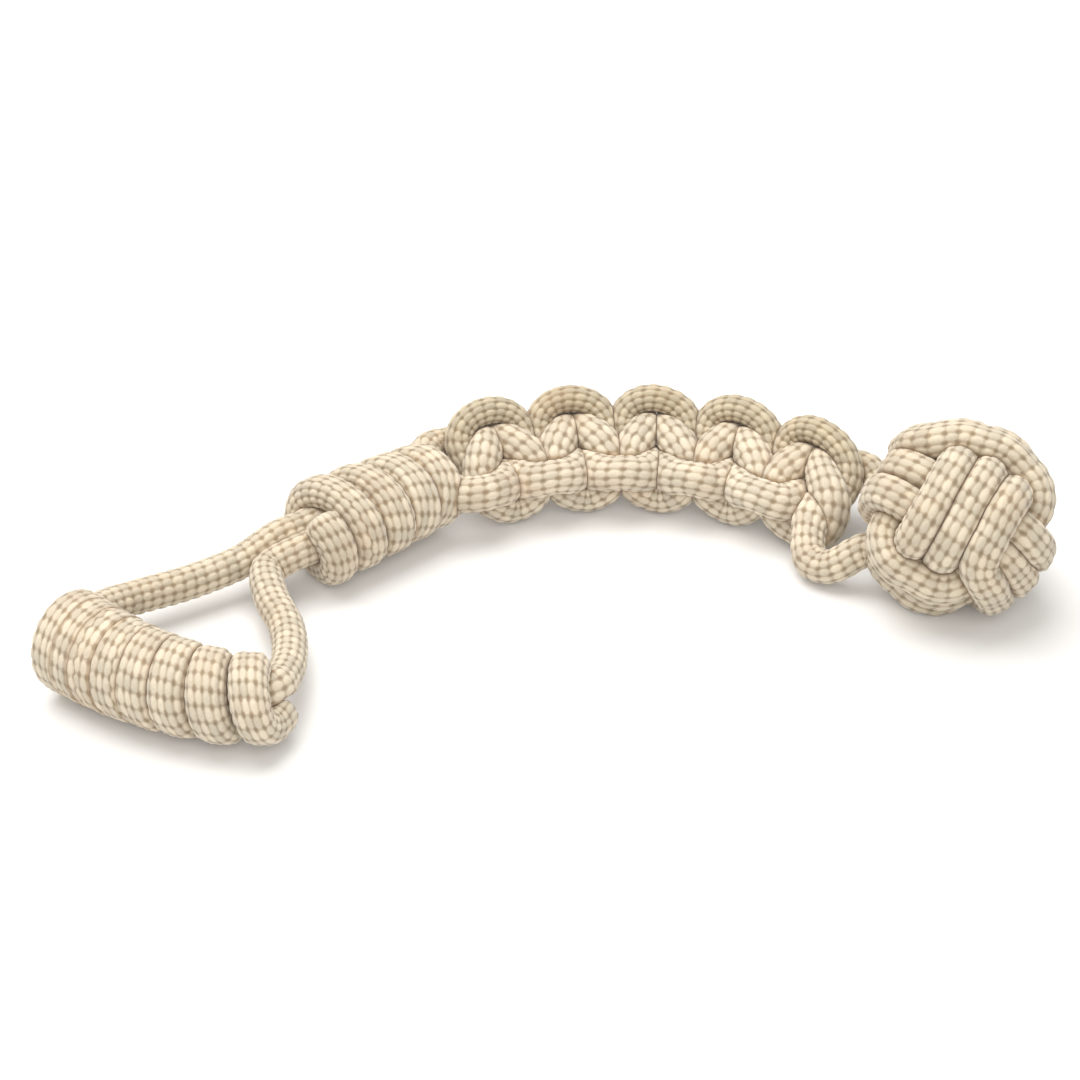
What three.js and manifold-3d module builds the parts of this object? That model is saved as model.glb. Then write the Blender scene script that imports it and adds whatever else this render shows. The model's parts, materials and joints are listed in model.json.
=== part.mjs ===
import * as THREE from "three";
import Module from "manifold-3d";

// Rope dog toy: a winding on a rope loop for a handle, a bound neck, a two strand
// square knot sinnet and a fist knot for a ball. Millimetres, Z up, resting on Z = 0.
// Shares are of the rope diameter unless a comment says otherwise.

// Driving dimensions
const ropeDiameter = 11;
const neckStart = [-79.9, -23.9];
const neckEnd = [-35.4, 10.1];
const neckAxisHeight = 15.9;
const bandAxisHeight = 19.2;
const bandArcRadius = 102.4;
const bandArcLength = 128;
const ballCentre = [137.6, -34];
const ballAxisHeight = 30.65;
const gripAxis = [[-148.8, -84.2], [-129.8, -99.4], [-109.9, -110.2], [-94, -115]];
const gripWrapEnd = [-82.5, -117.2];
const gripAxisHeight = 15.9;
const farLegPath = [
  [-98.7, -31.4, 12.5],
  [-115.8, -42.4, 11],
  [-133.5, -53.4, 12],
  [-142.8, -62.3, 14],
];
const farLegEnd = [-147.5, -73.5];
const nearLegPath = [
  [-90, -38, 13],
  [-87.8, -54, 12],
  [-82.3, -69, 12],
  [-80, -84, 12.5],
  [-80.5, -99, 14],
];
const nearLegEnd = [-84.5, -111];
const gapBetweenPieces = 0.34;
const restFlatDepth = 1.1;
const gapInOneRope = 0.6;
const gapBetweenBodies = 2.2;
const jointFaceRadius = 14;

// Knot proportions, shares of the rope diameter
const knotPeriodShare = 2.55;
const knotCount = 5;
const firstBarShare = 1;
const bandSkew = 0.3;
const looseLoopShares = [0.9, 1.05];
const looseLeanShare = 0.3;
const acrossShares = [1.455, -0.001, -0.036];
const raisedShares = [-0.165, 0.46, 0.007];
const hookShares = [-0.558, -0.059, 0.011];
const bandRoll = THREE.MathUtils.degToRad(26);

// Windings, shares of the rope diameter
const coreStrandShares = [0.53, 0.4];
const neckWrapShares = { across: [1.42, 1.06], raised: [1.03, 0.88] };
const neckWrapInsetShares = [0.25, 0.5];
const neckWrapTurns = 4.42;
const neckPitchGrowth = -0.14;
const gripWrapShares = { across: [1.02, 0.86], raised: [1.02, 0.86] };
const gripWrapTurns = 7.64;
const gripPitchGrowth = 0.26;
const wrapLeadShare = 0.5;

// Radii of the rope before its neighbours press it, shares of the rope diameter: fuller
// where it is free to swell, and flatter where it lies on what it is wound round
const legRadiusShare = 0.5;
const crossingRadiusShare = 0.486;
const nearBightRadiusShare = 0.546;
const farBightRadiusShare = 0.468;
const fistRadiusShares = { round: 0.564, flat: 0.536 };
const neckWrapRadiusShares = { round: 0.564, flat: 0.527 };
const gripWrapRadiusShares = { round: 0.573, flat: 0.527 };

// Fist knot, shares of the rope diameter
const fistOuterShare = 2.58;
const fistInnerShare = 1.55;
const fistPitchShare = 0.97;
const fistCoreShare = 0.86;
const bandStartAngle = 20;
const bandEndAngle = -920;
const bandAngleStep = -12;
const diveAngles = [38, 74];
const shiftAngles = [[-225, -315], [-585, -675]];
const sideDropShare = 0.15;
const passHeading = THREE.MathUtils.degToRad(50);
const faceElevation = THREE.MathUtils.degToRad(33);

// Fineness of the surfaces
const sides = 8;
const windingStep = 5.6;
const knotStep = 3.6;
const legStep = 4.5;
const sampleStep = 1.1;
const coreDetail = 4;
const phaseSteps = 60;

const half = 0.5;
const quarter = 0.25;
const threeQuarters = 0.75;
const nearSide = -1;
const farSide = 1;
const up = new THREE.Vector3(0, 0, 1);
const fullTurn = 2 * Math.PI;
const rope = (share) => share * ropeDiameter;
const vec = (x, y, z) => new THREE.Vector3(x, y, z);
const along = (from, direction, length) => from.clone().addScaledVector(direction, length);

// The line the neck and the band follow, seen from above, and its own three directions.
const neckVector = vec(neckEnd[0] - neckStart[0], neckEnd[1] - neckStart[1], 0);
const neckLength = neckVector.length();
const neckHeading = Math.atan2(neckVector.y, neckVector.x);

function spineAt(s) {
  const onArc = THREE.MathUtils.clamp(s, 0, bandArcLength);
  const heading = neckHeading - onArc / bandArcRadius;
  const centre = vec(
    neckEnd[0] + bandArcRadius * Math.sin(neckHeading),
    neckEnd[1] - bandArcRadius * Math.cos(neckHeading),
    0,
  );
  const forward = vec(Math.cos(heading), Math.sin(heading), 0);
  const left = vec(-forward.y, forward.x, 0);
  const origin = along(along(centre, left, bandArcRadius), forward, s - onArc);
  const share = THREE.MathUtils.smoothstep(s, 0, rope(firstBarShare));
  origin.z = THREE.MathUtils.lerp(neckAxisHeight, bandAxisHeight, share);
  const roll = bandRoll * share;
  return {
    origin,
    forward,
    across: left.clone().multiplyScalar(Math.cos(roll)).addScaledVector(up, Math.sin(roll)),
    raised: up.clone().multiplyScalar(Math.cos(roll)).addScaledVector(left, -Math.sin(roll)),
  };
}

function bandPoint(s, across, raised) {
  const frame = spineAt(s);
  return along(along(frame.origin, frame.across, across), frame.raised, raised);
}

// One cord of the sinnet at a phase of the knot: side is 1 for one cord, and -1 for the
// other, which is the same curve turned half round about the band.
function cordPoint(phase, side) {
  const [a1, a3, a5] = acrossShares;
  const [r0, r2, r4] = raisedShares;
  const [h2, h4, h6] = hookShares;
  const across = a1 * Math.sin(phase) + a3 * Math.sin(3 * phase) + a5 * Math.sin(5 * phase);
  const raised = r0 + r2 * Math.cos(2 * phase) + r4 * Math.cos(4 * phase);
  const hook = h2 * Math.sin(2 * phase) + h4 * Math.sin(4 * phase) + h6 * Math.sin(6 * phase);
  const progress = (phase - firstPhase) / (lastPhase - firstPhase);
  const skew = bandSkew * progress * side * across;
  const s = firstBarShare + knotPeriodShare * (phase / fullTurn - quarter) + hook - skew;
  const point = bandPoint(rope(s), side * rope(across), side * rope(raised));
  if (side === farSide) return point;
  const loose = THREE.MathUtils.smoothstep(phase, lastPhase - looseAngle, lastPhase);
  const lean = THREE.MathUtils.smoothstep(phase, lastPhase - leanAngles[0],
    lastPhase - leanAngles[1]) * (1 - THREE.MathUtils.smoothstep(phase,
    lastPhase - leanAngles[2], lastPhase));
  const [outward, downward] = looseLoopShares;
  const { forward } = spineAt(rope(s));
  const left = up.clone().cross(forward);
  const loosened = along(along(point, left, -rope(outward) * loose), up, -rope(downward) * loose);
  return along(loosened, forward, rope(looseLeanShare) * lean);
}
const firstPhase = quarter * fullTurn;
const lastPhase = (knotCount + quarter) * fullTurn;
const looseAngle = 0.18 * fullTurn;
const leanAngles = [0.5, 0.28, 0.22].map((turns) => turns * fullTurn);

// Evenly spaced points along a line of points, drawn as a smooth curve.
function resample(points, step) {
  const curve = new THREE.CatmullRomCurve3(points, false, "centripetal");
  curve.arcLengthDivisions = points.length * divisionsPerPoint;
  const count = Math.max(2, Math.round(curve.getLength() / step));
  return curve.getSpacedPoints(count);
}
const divisionsPerPoint = 12;

// A smooth run from one point and heading to another.
function bridge(from, fromHeading, to, toHeading, pull) {
  const reach = from.distanceTo(to) * pull;
  const curve = new THREE.CubicBezierCurve3(
    from,
    along(from, fromHeading, reach),
    along(to, toHeading, -reach),
    to,
  );
  return curve.getPoints(bridgePoints);
}
const bridgePoints = 10;
const bridgePull = 0.4;

const headingAt = (points, index) => {
  const a = points[Math.max(index - 1, 0)];
  const b = points[Math.min(index + 1, points.length - 1)];
  return b.clone().sub(a).normalize();
};

// Fist knot: three bands of three passes square to each other; each band lies over
// one neighbour and under the other. The passes are then pulled snug against each other.
const ballOrigin = vec(ballCentre[0], ballCentre[1], ballAxisHeight);
const faceNormal = vec(0, -Math.cos(faceElevation), Math.sin(faceElevation));
const faceRight = vec(1, 0, 0);
const faceUp = faceNormal.clone().cross(faceRight);
const passDirection = faceRight.clone().multiplyScalar(Math.cos(passHeading))
  .addScaledVector(faceUp, Math.sin(passHeading));
const thirdDirection = faceNormal.clone().cross(passDirection);
const fistBands = [
  { over: "y", overSign: -1, under: "z", underSign: 1, offset: "x", offsetSign: -1 },
  { over: "z", overSign: 1, under: "x", underSign: 1, offset: "y", offsetSign: 1 },
  { over: "x", overSign: 1, under: "y", underSign: -1, offset: "z", offsetSign: -1 },
];

function fistPasses() {
  const points = [];
  for (const band of fistBands) {
    for (let a = bandStartAngle; a >= bandEndAngle; a += bandAngleStep) {
      const angle = THREE.MathUtils.degToRad(a);
      const fromOver = THREE.MathUtils.radToDeg(Math.asin(Math.abs(Math.sin(angle))));
      const dive = THREE.MathUtils.smoothstep(fromOver, ...diveAngles);
      const shifts = shiftAngles.map(([start, end]) =>
        THREE.MathUtils.smoothstep(-a, -start, -end));
      const lane = 1 - shifts[0] - shifts[1];
      const radius = THREE.MathUtils.lerp(fistOuterShare, fistInnerShare, dive) -
        sideDropShare * lane * lane;
      const point = vec(0, 0, 0);
      point[band.over] = band.overSign * radius * Math.cos(angle);
      point[band.under] = band.underSign * radius * Math.sin(angle);
      point[band.offset] = band.offsetSign * lane * fistPitchShare;
      points.push(point);
    }
  }
  return points;
}

const snugPasses = 260;
const snugSpacingShare = 0.42;
const snugDistanceShare = 0.94;
const ownReachShare = 1.35;
const snugSoftness = 0.12;
const innerLimitShare = 1.45;

function pulledSnug(points) {
  const line = resample(points, snugSpacingShare);
  const skip = Math.ceil(ownReachShare / snugSpacingShare);
  for (let pass = 0; pass < snugPasses; pass++) {
    const moves = line.map(() => vec(0, 0, 0));
    for (let i = 0; i < line.length; i++) {
      for (let j = i + skip; j < line.length; j++) {
        const apart = line[i].clone().sub(line[j]);
        const distance = apart.length();
        if (distance >= snugDistanceShare) continue;
        apart.multiplyScalar((snugDistanceShare - distance) / distance * quarter);
        moves[i].add(apart);
        moves[j].sub(apart);
      }
    }
    for (let i = 1; i < line.length - 1; i++) {
      const middle = line[i - 1].clone().add(line[i + 1]).multiplyScalar(half);
      moves[i].addScaledVector(middle.sub(line[i]), snugSoftness);
    }
    for (let i = 1; i < line.length - 1; i++) {
      line[i].add(moves[i]);
      line[i].clampLength(innerLimitShare, fistOuterShare);
    }
  }
  return line;
}

const fistToWorld = new THREE.Matrix4()
  .makeBasis(faceNormal, passDirection, thirdDirection)
  .scale(vec(ropeDiameter, ropeDiameter, ropeDiameter))
  .setPosition(ballOrigin);
const fistLine = pulledSnug(fistPasses()).map((p) => p.clone().applyMatrix4(fistToWorld));

// The main rope, one length from the near strand in the neck, along the near cord of
// the sinnet, through the fist and back along the far cord: marks hold where it is cut.
const phaseStep = fullTurn / phaseSteps;
const strandLeadShare = 0.8;

function cordLine(side, strandSide) {
  const points = [];
  for (let s = -neckLength; s < -rope(strandLeadShare) - sampleStep; s += rope(1)) {
    const share = THREE.MathUtils.lerp(coreStrandShares[1], coreStrandShares[0], -s / neckLength);
    points.push(bandPoint(s, rope(share) * strandSide, 0));
  }
  const from = bandPoint(-rope(strandLeadShare), rope(coreStrandShares[1]) * strandSide, 0);
  const first = cordPoint(firstPhase, side);
  const next = cordPoint(firstPhase + phaseStep, side);
  const firstHeading = next.sub(first).normalize();
  points.push(...bridge(from, spineAt(0).forward, first, firstHeading, bridgePull));
  for (let phase = firstPhase + phaseStep; phase <= lastPhase + phaseStep / 2; phase += phaseStep) {
    points.push(cordPoint(phase, side));
  }
  return points;
}
const nearCord = cordLine(nearSide, nearSide);
const farCord = cordLine(farSide, farSide);
const tailHeading = (points) => headingAt(points, points.length - 1);
const nearTail = bridge(nearCord.at(-1), tailHeading(nearCord), fistLine[0],
  headingAt(fistLine, 0), half);
const farTail = bridge(fistLine.at(-1), tailHeading(fistLine), farCord.at(-1),
  tailHeading(farCord).negate(), half);
const mainLine = resample([
  ...nearCord,
  ...nearTail.slice(1, -1),
  ...fistLine,
  ...farTail.slice(1, -1),
  ...farCord.reverse(),
], sampleStep);

const nearestIndex = (line, point) => {
  let best = 0;
  line.forEach((p, i) => {
    if (p.distanceToSquared(point) < line[best].distanceToSquared(point)) best = i;
  });
  return best;
};

// Handle loop, from the near root round through the grip to the far root.
const spineBack = spineAt(-neckLength);
const rootLead = ropeDiameter / 2 + gapBetweenPieces / 2;
const mouthPoint = (side, lead) => along(
  along(spineBack.origin, spineBack.forward, -lead),
  spineBack.across,
  side * rope(coreStrandShares[0]),
);
const rootPoint = (side) => mouthPoint(side, rootLead);
const tipPoint = (side) => mouthPoint(side, 0);
const gripPoint = ([x, y]) => vec(x, y, gripAxisHeight);
const legPoint = ([x, y, z]) => vec(x, y, z);
const handleLine = resample([
  tipPoint(nearSide),
  rootPoint(nearSide),
  ...nearLegPath.map(legPoint),
  gripPoint(nearLegEnd),
  ...gripAxis.map(gripPoint).reverse(),
  gripPoint(farLegEnd),
  ...farLegPath.map(legPoint).reverse(),
  rootPoint(farSide),
  tipPoint(farSide),
], sampleStep);

// A winding about a line, with a short straight lead at each end. Its two radii go from
// their first share to their second, and its pitch grows or shrinks on the way.
function winding(axisPoints, { across, raised }, turns, startAngle, pitchGrowth) {
  const axis = new THREE.CatmullRomCurve3(axisPoints, false, "centripetal");
  const count = Math.ceil(turns * windingSamples);
  const points = [];
  for (let i = 0; i <= count; i++) {
    const u = i / count;
    const angle = startAngle + fullTurn * turns * u;
    const onAxis = THREE.MathUtils.clamp(u + pitchGrowth * (u ** 3 - u), 0, 1);
    const tangent = axis.getTangentAt(onAxis);
    const side = up.clone().cross(tangent).normalize();
    const p = axis.getPointAt(onAxis);
    points.push(along(
      along(p, side, rope(THREE.MathUtils.lerp(...across, u)) * Math.cos(angle)),
      up,
      rope(THREE.MathUtils.lerp(...raised, u)) * Math.sin(angle),
    ));
  }
  const first = points[0];
  const last = points.at(-1);
  const lead = headingAt(points, 0);
  const trail = headingAt(points, count);
  return resample([
    along(first, lead, -rope(wrapLeadShare)),
    along(first, lead, -rope(wrapLeadShare) / 2),
    ...points,
    along(last, trail, rope(wrapLeadShare) / 2),
    along(last, trail, rope(wrapLeadShare)),
  ], sampleStep);
}
const windingSamples = 30;
const neckWrapStartAngle = THREE.MathUtils.degToRad(130);
const gripWrapStartAngle = THREE.MathUtils.degToRad(50);
const neckWrapAxis = [
  bandPoint(-neckLength + rope(neckWrapInsetShares[0]), 0, 0),
  bandPoint(-rope(neckWrapInsetShares[1]), 0, 0),
];
const gripWrapAxis = [...gripAxis, gripWrapEnd].map(gripPoint);
const neckWrapLine = winding(neckWrapAxis, neckWrapShares, neckWrapTurns, neckWrapStartAngle,
  neckPitchGrowth);
const gripWrapLine = winding(gripWrapAxis, gripWrapShares, gripWrapTurns, gripWrapStartAngle,
  gripPitchGrowth);

// Every length of rope as points that know their rope and their body.
const ropes = {
  main: mainLine,
  handle: handleLine,
  neckWrap: neckWrapLine,
  gripWrap: gripWrapLine,
};
const phaseIndex = (phase, side) => {
  const from = nearestIndex(mainLine, fistLine[0]);
  const part = side === nearSide ? mainLine.slice(0, from) : mainLine.slice(from);
  return nearestIndex(part, cordPoint(phase, side)) + (side === nearSide ? 0 : from);
};
const jointPhases = [quarter];
for (let k = 0; k < knotCount; k++) jointPhases.push(k + threeQuarters);
jointPhases.push(knotCount + quarter);
const nearCuts = jointPhases.map((turns) => phaseIndex(turns * fullTurn, nearSide));
const farCuts = jointPhases.map((turns) => phaseIndex(turns * fullTurn, farSide));
const bodyNames = ["neck", ...jointPhases.slice(1).map((_, k) => `knot_${k + 1}`), "ball"];

// Radius of the main rope at each of its points: fullest in the fist and in the bights of
// the near side, thinnest in those of the far side.
const { lerp, smoothstep } = THREE.MathUtils;
const nearBightReach = [0.55, 1];
const farBightReach = [0.4, 1];
const fistLeadShare = 3.3;

function knotRadiusAt(phase, side) {
  const lateral = side * Math.sin(phase);
  const near = smoothstep(-lateral, ...nearBightReach);
  const far = smoothstep(lateral, ...farBightReach);
  return rope(crossingRadiusShare + (nearBightRadiusShare - crossingRadiusShare) * near +
    (farBightRadiusShare - crossingRadiusShare) * far);
}

function mainRopeRadii() {
  const radii = mainLine.map(() => rope(crossingRadiusShare));
  const phases = Array.from({ length: knotCount * phaseSteps + 1 }, (_, k) =>
    firstPhase + k * phaseStep);
  for (const [side, cuts] of [[nearSide, nearCuts], [farSide, farCuts]]) {
    const points = phases.map((phase) => cordPoint(phase, side));
    const [from, to] = [cuts[0], cuts.at(-1)].sort((a, b) => a - b);
    for (let i = from; i <= to; i++) {
      radii[i] = knotRadiusAt(phases[nearestIndex(points, mainLine[i])], side);
    }
  }
  return radii.map((radius, i) => lerp(radius, rope(fistRadiusShares.round), inFist(i)));
}
const fistEnds = [nearestIndex(mainLine, fistLine[0]), nearestIndex(mainLine, fistLine.at(-1))];
const fistLead = rope(fistLeadShare) / sampleStep;
const inFist = (index) => smoothstep(index, fistEnds[0], fistEnds[0] + fistLead) *
  (1 - smoothstep(index, fistEnds[1] - fistLead, fistEnds[1]));
const mainRadii = mainRopeRadii();

const samples = [];
const addSamples = (cord, body, from, to) => {
  for (let i = from; i <= to; i++) samples.push({ cord, body, index: i, at: ropes[cord][i] });
};
addSamples("main", "neck", 0, nearCuts[0] - 1);
addSamples("main", "neck", farCuts[0], mainLine.length - 1);
for (let k = 1; k < jointPhases.length; k++) {
  addSamples("main", bodyNames[k], nearCuts[k - 1], nearCuts[k] - 1);
  addSamples("main", bodyNames[k], farCuts[k], farCuts[k - 1] - 1);
}
addSamples("main", "ball", nearCuts.at(-1), farCuts.at(-1) - 1);
addSamples("handle", "handle", 0, handleLine.length - 1);
addSamples("neckWrap", "neck", 0, neckWrapLine.length - 1);
addSamples("gripWrap", "handle", 0, gripWrapLine.length - 1);

// How far the rope's side may stand out from its centre towards a direction before it
// meets a neighbour: the two press each other flat halfway between their centres.
const blindSamples = 2;
const ownSamples = Math.ceil(rope(ownReachShare) / sampleStep);

function neighboursOf(cord, body, index, centre, radius) {
  const reach = 2 * (radius + gapBetweenBodies);
  return samples.filter((q) => {
    if (q.cord === cord && Math.abs(q.index - index) <= blindSamples) return false;
    if ((q.body === "handle") !== (body === "handle")) return false;
    return q.at.distanceTo(centre) < reach;
  }).map((q) => {
    const own = q.cord === cord && Math.abs(q.index - index) <= ownSamples;
    const gap = own || q.body === body
      ? gapInOneRope
      : gapBetweenBodies;
    return { offset: q.at.clone().sub(centre), margin: gap / 2 };
  });
}

function pressedRadius(direction, neighbours, radius, rest) {
  const facingOut = Math.max(rest.outward.dot(direction), leastFacing);
  let best = Math.min(radius, rest.flat / facingOut);
  for (const { offset, margin } of neighbours) {
    const facing = offset.dot(direction);
    if (facing <= 0) continue;
    best = Math.min(best, offset.lengthSq() / (2 * facing) - margin);
  }
  return Math.max(best, radius * thinnestShare);
}
const thinnestShare = 0.3;
const leastFacing = 0.05;

// How full a rope is at a point of its line, and how flat its outer side lies there:
// inner holds the points that it is wound round.
const nearestPoint = (points, centre) => points[nearestIndex(points, centre)];
const axisPoints = (points) => resample(points, sampleStep);
const whole = (index) => Math.round(THREE.MathUtils.clamp(index, 0, mainRadii.length - 1));
const fullness = {
  main: {
    radius: (index) => mainRadii[whole(index)],
    flat: (index) => (inFist(index) > half ? rope(fistRadiusShares.flat) : Infinity),
    inner: [ballOrigin],
  },
  handle: {
    radius: () => rope(legRadiusShare),
    flat: () => Infinity,
    inner: [ballOrigin],
  },
  neckWrap: {
    radius: () => rope(neckWrapRadiusShares.round),
    flat: () => rope(neckWrapRadiusShares.flat),
    inner: axisPoints(neckWrapAxis),
  },
  gripWrap: {
    radius: () => rope(gripWrapRadiusShares.round),
    flat: () => rope(gripWrapRadiusShares.flat),
    inner: axisPoints(gripWrapAxis),
  },
};

// A tube along part of a rope, pressed by its neighbours, with rounded ends.
function ropeTube(cord, body, from, to, options) {
  const { step, startCap, endCap } = options;
  const { radius: radiusAt, flat: flatAt, inner } = fullness[cord];
  const line = ropes[cord];
  const length = (to - from) * sampleStep;
  const stations = [];
  const capRings = (capRadius, radius) => {
    const widest = Math.asin(Math.min(1, radius / capRadius));
    return capShares.map((share) => ({
      inset: capRadius * (1 - Math.cos(widest * share)),
      scale: Math.sin(widest * share) / Math.sin(widest),
    }));
  };
  const startRings = capRings(startCap, radiusAt(from));
  const endRings = capRings(endCap, radiusAt(to));
  const startInset = startRings.at(-1).inset + gapBetweenPieces / 2;
  const endInset = endRings.at(-1).inset + gapBetweenPieces / 2;
  startRings.forEach((ring) => stations.push({
    s: ring.inset + gapBetweenPieces / 2,
    scale: ring.scale,
  }));
  const bodyRings = Math.max(1, Math.round((length - startInset - endInset) / step));
  for (let i = 1; i < bodyRings; i++) {
    const s = THREE.MathUtils.lerp(startInset, length - endInset, i / bodyRings);
    stations.push({ s, scale: 1 });
  }
  endRings.reverse().forEach((ring) => stations.push({
    s: length - ring.inset - gapBetweenPieces / 2,
    scale: ring.scale,
  }));

  const pointAt = (s) => {
    const exact = THREE.MathUtils.clamp(from + s / sampleStep, 0, line.length - 1);
    const i = Math.min(Math.floor(exact), line.length - 2);
    return line[i].clone().lerp(line[i + 1], exact - i);
  };
  const positions = [];
  let normal = null;
  stations.forEach(({ s, scale }) => {
    const centre = pointAt(s);
    const tangent = pointAt(s + sampleStep).sub(pointAt(s - sampleStep)).normalize();
    if (!normal) normal = Math.abs(tangent.z) < half ? up.clone() : faceNormal.clone();
    normal.addScaledVector(tangent, -normal.dot(tangent)).normalize();
    const binormal = tangent.clone().cross(normal);
    const index = from + s / sampleStep;
    const radius = radiusAt(index);
    const neighbours = neighboursOf(cord, body, index, centre, radius);
    const outward = centre.clone().sub(nearestPoint(inner, centre)).normalize();
    const rest = { outward, flat: flatAt(index) };
    for (let k = 0; k < sides; k++) {
      const angle = fullTurn * k / sides;
      const direction = normal.clone().multiplyScalar(Math.cos(angle))
        .addScaledVector(binormal, Math.sin(angle));
      const reach = pressedRadius(direction, neighbours, radius, rest) * scale;
      positions.push(...along(centre, direction, reach).toArray());
    }
  });
  const startTip = pointAt(gapBetweenPieces / 2);
  const endTip = pointAt(length - gapBetweenPieces / 2);
  positions.push(...startTip.toArray(), ...endTip.toArray());
  const index = [];
  const rings = stations.length;
  for (let k = 0; k < sides; k++) {
    const next = (k + 1) % sides;
    for (let r = 0; r + 1 < rings; r++) {
      const a = r * sides + k;
      const b = r * sides + next;
      index.push(a, b, a + sides, b, b + sides, a + sides);
    }
    index.push(rings * sides, next, k);
    index.push(rings * sides + 1, (rings - 1) * sides + k, (rings - 1) * sides + next);
  }
  const geometry = new THREE.BufferGeometry();
  geometry.setAttribute("position", new THREE.Float32BufferAttribute(positions, 3));
  geometry.setIndex(index);
  return geometry;
}
const capShares = [0.5, 1];

// Flat rests: the turns and passes that touch the ground are cut level.
const wasm = await Module();
wasm.setup();

function toSolid(geometry) {
  return new wasm.Manifold(new wasm.Mesh({
    numProp: 3,
    vertProperties: new Float32Array(geometry.attributes.position.array),
    triVerts: new Uint32Array(geometry.index.array),
  }));
}

function toGeometry(solid) {
  const mesh = solid.getMesh();
  const geometry = new THREE.BufferGeometry();
  geometry.setAttribute("position", new THREE.Float32BufferAttribute(mesh.vertProperties, 3));
  geometry.setIndex(Array.from(mesh.triVerts));
  return geometry;
}

function weldedBox(width, depth, height) {
  const box = new THREE.BoxGeometry(width, depth, height);
  const position = box.attributes.position;
  const seen = new Map();
  const welded = [];
  const index = Array.from(box.index.array, (i) => {
    const key = [position.getX(i), position.getY(i), position.getZ(i)].join();
    if (!seen.has(key)) {
      seen.set(key, seen.size);
      welded.push(position.getX(i), position.getY(i), position.getZ(i));
    }
    return seen.get(key);
  });
  const geometry = new THREE.BufferGeometry();
  geometry.setAttribute("position", new THREE.Float32BufferAttribute(welded, 3));
  geometry.setIndex(index);
  return geometry;
}

const groundSpan = 600;
const groundDepth = 100;
function cutLevel(geometry, level) {
  const ground = weldedBox(groundSpan, groundSpan, groundDepth);
  ground.translate(0, 0, level - groundDepth / 2);
  return toGeometry(toSolid(geometry).subtract(toSolid(ground)));
}

// Nodes
const group = new THREE.Group();
group.name = "rope_dog_toy";
const creamRope = { color: 0xd9c8a6, roughness: 0.95, metalness: 0 };
const coreStuff = { color: 0xb9a27c, roughness: 0.95, metalness: 0 };

function addNode(name, geometry, look) {
  const mesh = new THREE.Mesh(geometry, new THREE.MeshStandardMaterial(look));
  mesh.name = name;
  group.add(mesh);
  return mesh;
}

const blunt = ropeDiameter / 2;
const knotTube = (body, from, to) => ropeTube("main", body, from, to, {
  step: knotStep,
  startCap: jointFaceRadius,
  endCap: jointFaceRadius,
});
const lastIndex = mainLine.length - 1;
addNode("neck_strand_near", knotTube("neck", 0, nearCuts[0]), creamRope);
addNode("neck_strand_far", knotTube("neck", farCuts[0], lastIndex), creamRope);
for (let k = 1; k < jointPhases.length; k++) {
  const body = bodyNames[k];
  addNode(`${body}_near_cord`, knotTube(body, nearCuts[k - 1], nearCuts[k]), creamRope);
  addNode(`${body}_far_cord`, knotTube(body, farCuts[k], farCuts[k - 1]), creamRope);
}
const fistRope = ropeTube("main", "ball", nearCuts.at(-1), farCuts.at(-1), {
  step: windingStep,
  startCap: jointFaceRadius,
  endCap: jointFaceRadius,
});

const nearEntry = nearestIndex(handleLine, gripPoint(gripAxis.at(-1)));
const farEntry = nearestIndex(handleLine, gripPoint(gripAxis[0]));
const handleTube = (from, to, startCap, endCap) => ropeTube("handle", "handle", from, to, {
  step: legStep,
  startCap,
  endCap,
});
addNode("leg_near", handleTube(0, nearEntry, blunt, jointFaceRadius), creamRope);
addNode("grip_core", handleTube(nearEntry, farEntry, jointFaceRadius, jointFaceRadius), creamRope);
addNode("leg_far",
  handleTube(farEntry, handleLine.length - 1, jointFaceRadius, blunt), creamRope);
const wrapTube = (cord, body) => ropeTube(cord, body, 0, ropes[cord].length - 1, {
  step: windingStep,
  startCap: blunt,
  endCap: blunt,
});
const neckWrap = wrapTube("neckWrap", "neck");
const gripWrap = wrapTube("gripWrap", "handle");

const lowest = (geometry) => {
  geometry.computeBoundingBox();
  return geometry.boundingBox.min.z;
};
const groundLevel = Math.min(lowest(fistRope), lowest(neckWrap), lowest(gripWrap)) + restFlatDepth;
console.log("lowest points", lowest(fistRope).toFixed(2), lowest(neckWrap).toFixed(2),
  lowest(gripWrap).toFixed(2));
addNode("fist_rope", cutLevel(fistRope, groundLevel), creamRope);
addNode("neck_wrap", cutLevel(neckWrap, groundLevel), creamRope);
addNode("grip_wrap", cutLevel(gripWrap, groundLevel), creamRope);
const core = new THREE.IcosahedronGeometry(rope(fistCoreShare), coreDetail);
core.translate(...ballOrigin.toArray());
addNode("ball_core", core, coreStuff);

// The part's frame: middle of the box around it, on the ground.
const bounds = new THREE.Box3().setFromObject(group);
const middle = bounds.getCenter(vec(0, 0, 0));
group.position.set(-middle.x, -middle.y, -bounds.min.z);

const inFrame = (point) => point.clone().add(group.position).toArray().map((v) => +v.toFixed(2));
jointPhases.forEach((turns, k) => {
  const a = cordPoint(turns * fullTurn, nearSide);
  const b = cordPoint(turns * fullTurn, farSide);
  const axis = a.clone().sub(b).normalize().toArray();
  console.log("joint", k, inFrame(a.lerp(b, half)), axis.map((v) => +v.toFixed(4)));
});
console.log("handle joint", inFrame(rootPoint(nearSide).lerp(rootPoint(farSide), half)),
  spineBack.across.toArray().map((v) => +v.toFixed(4)));

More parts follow.
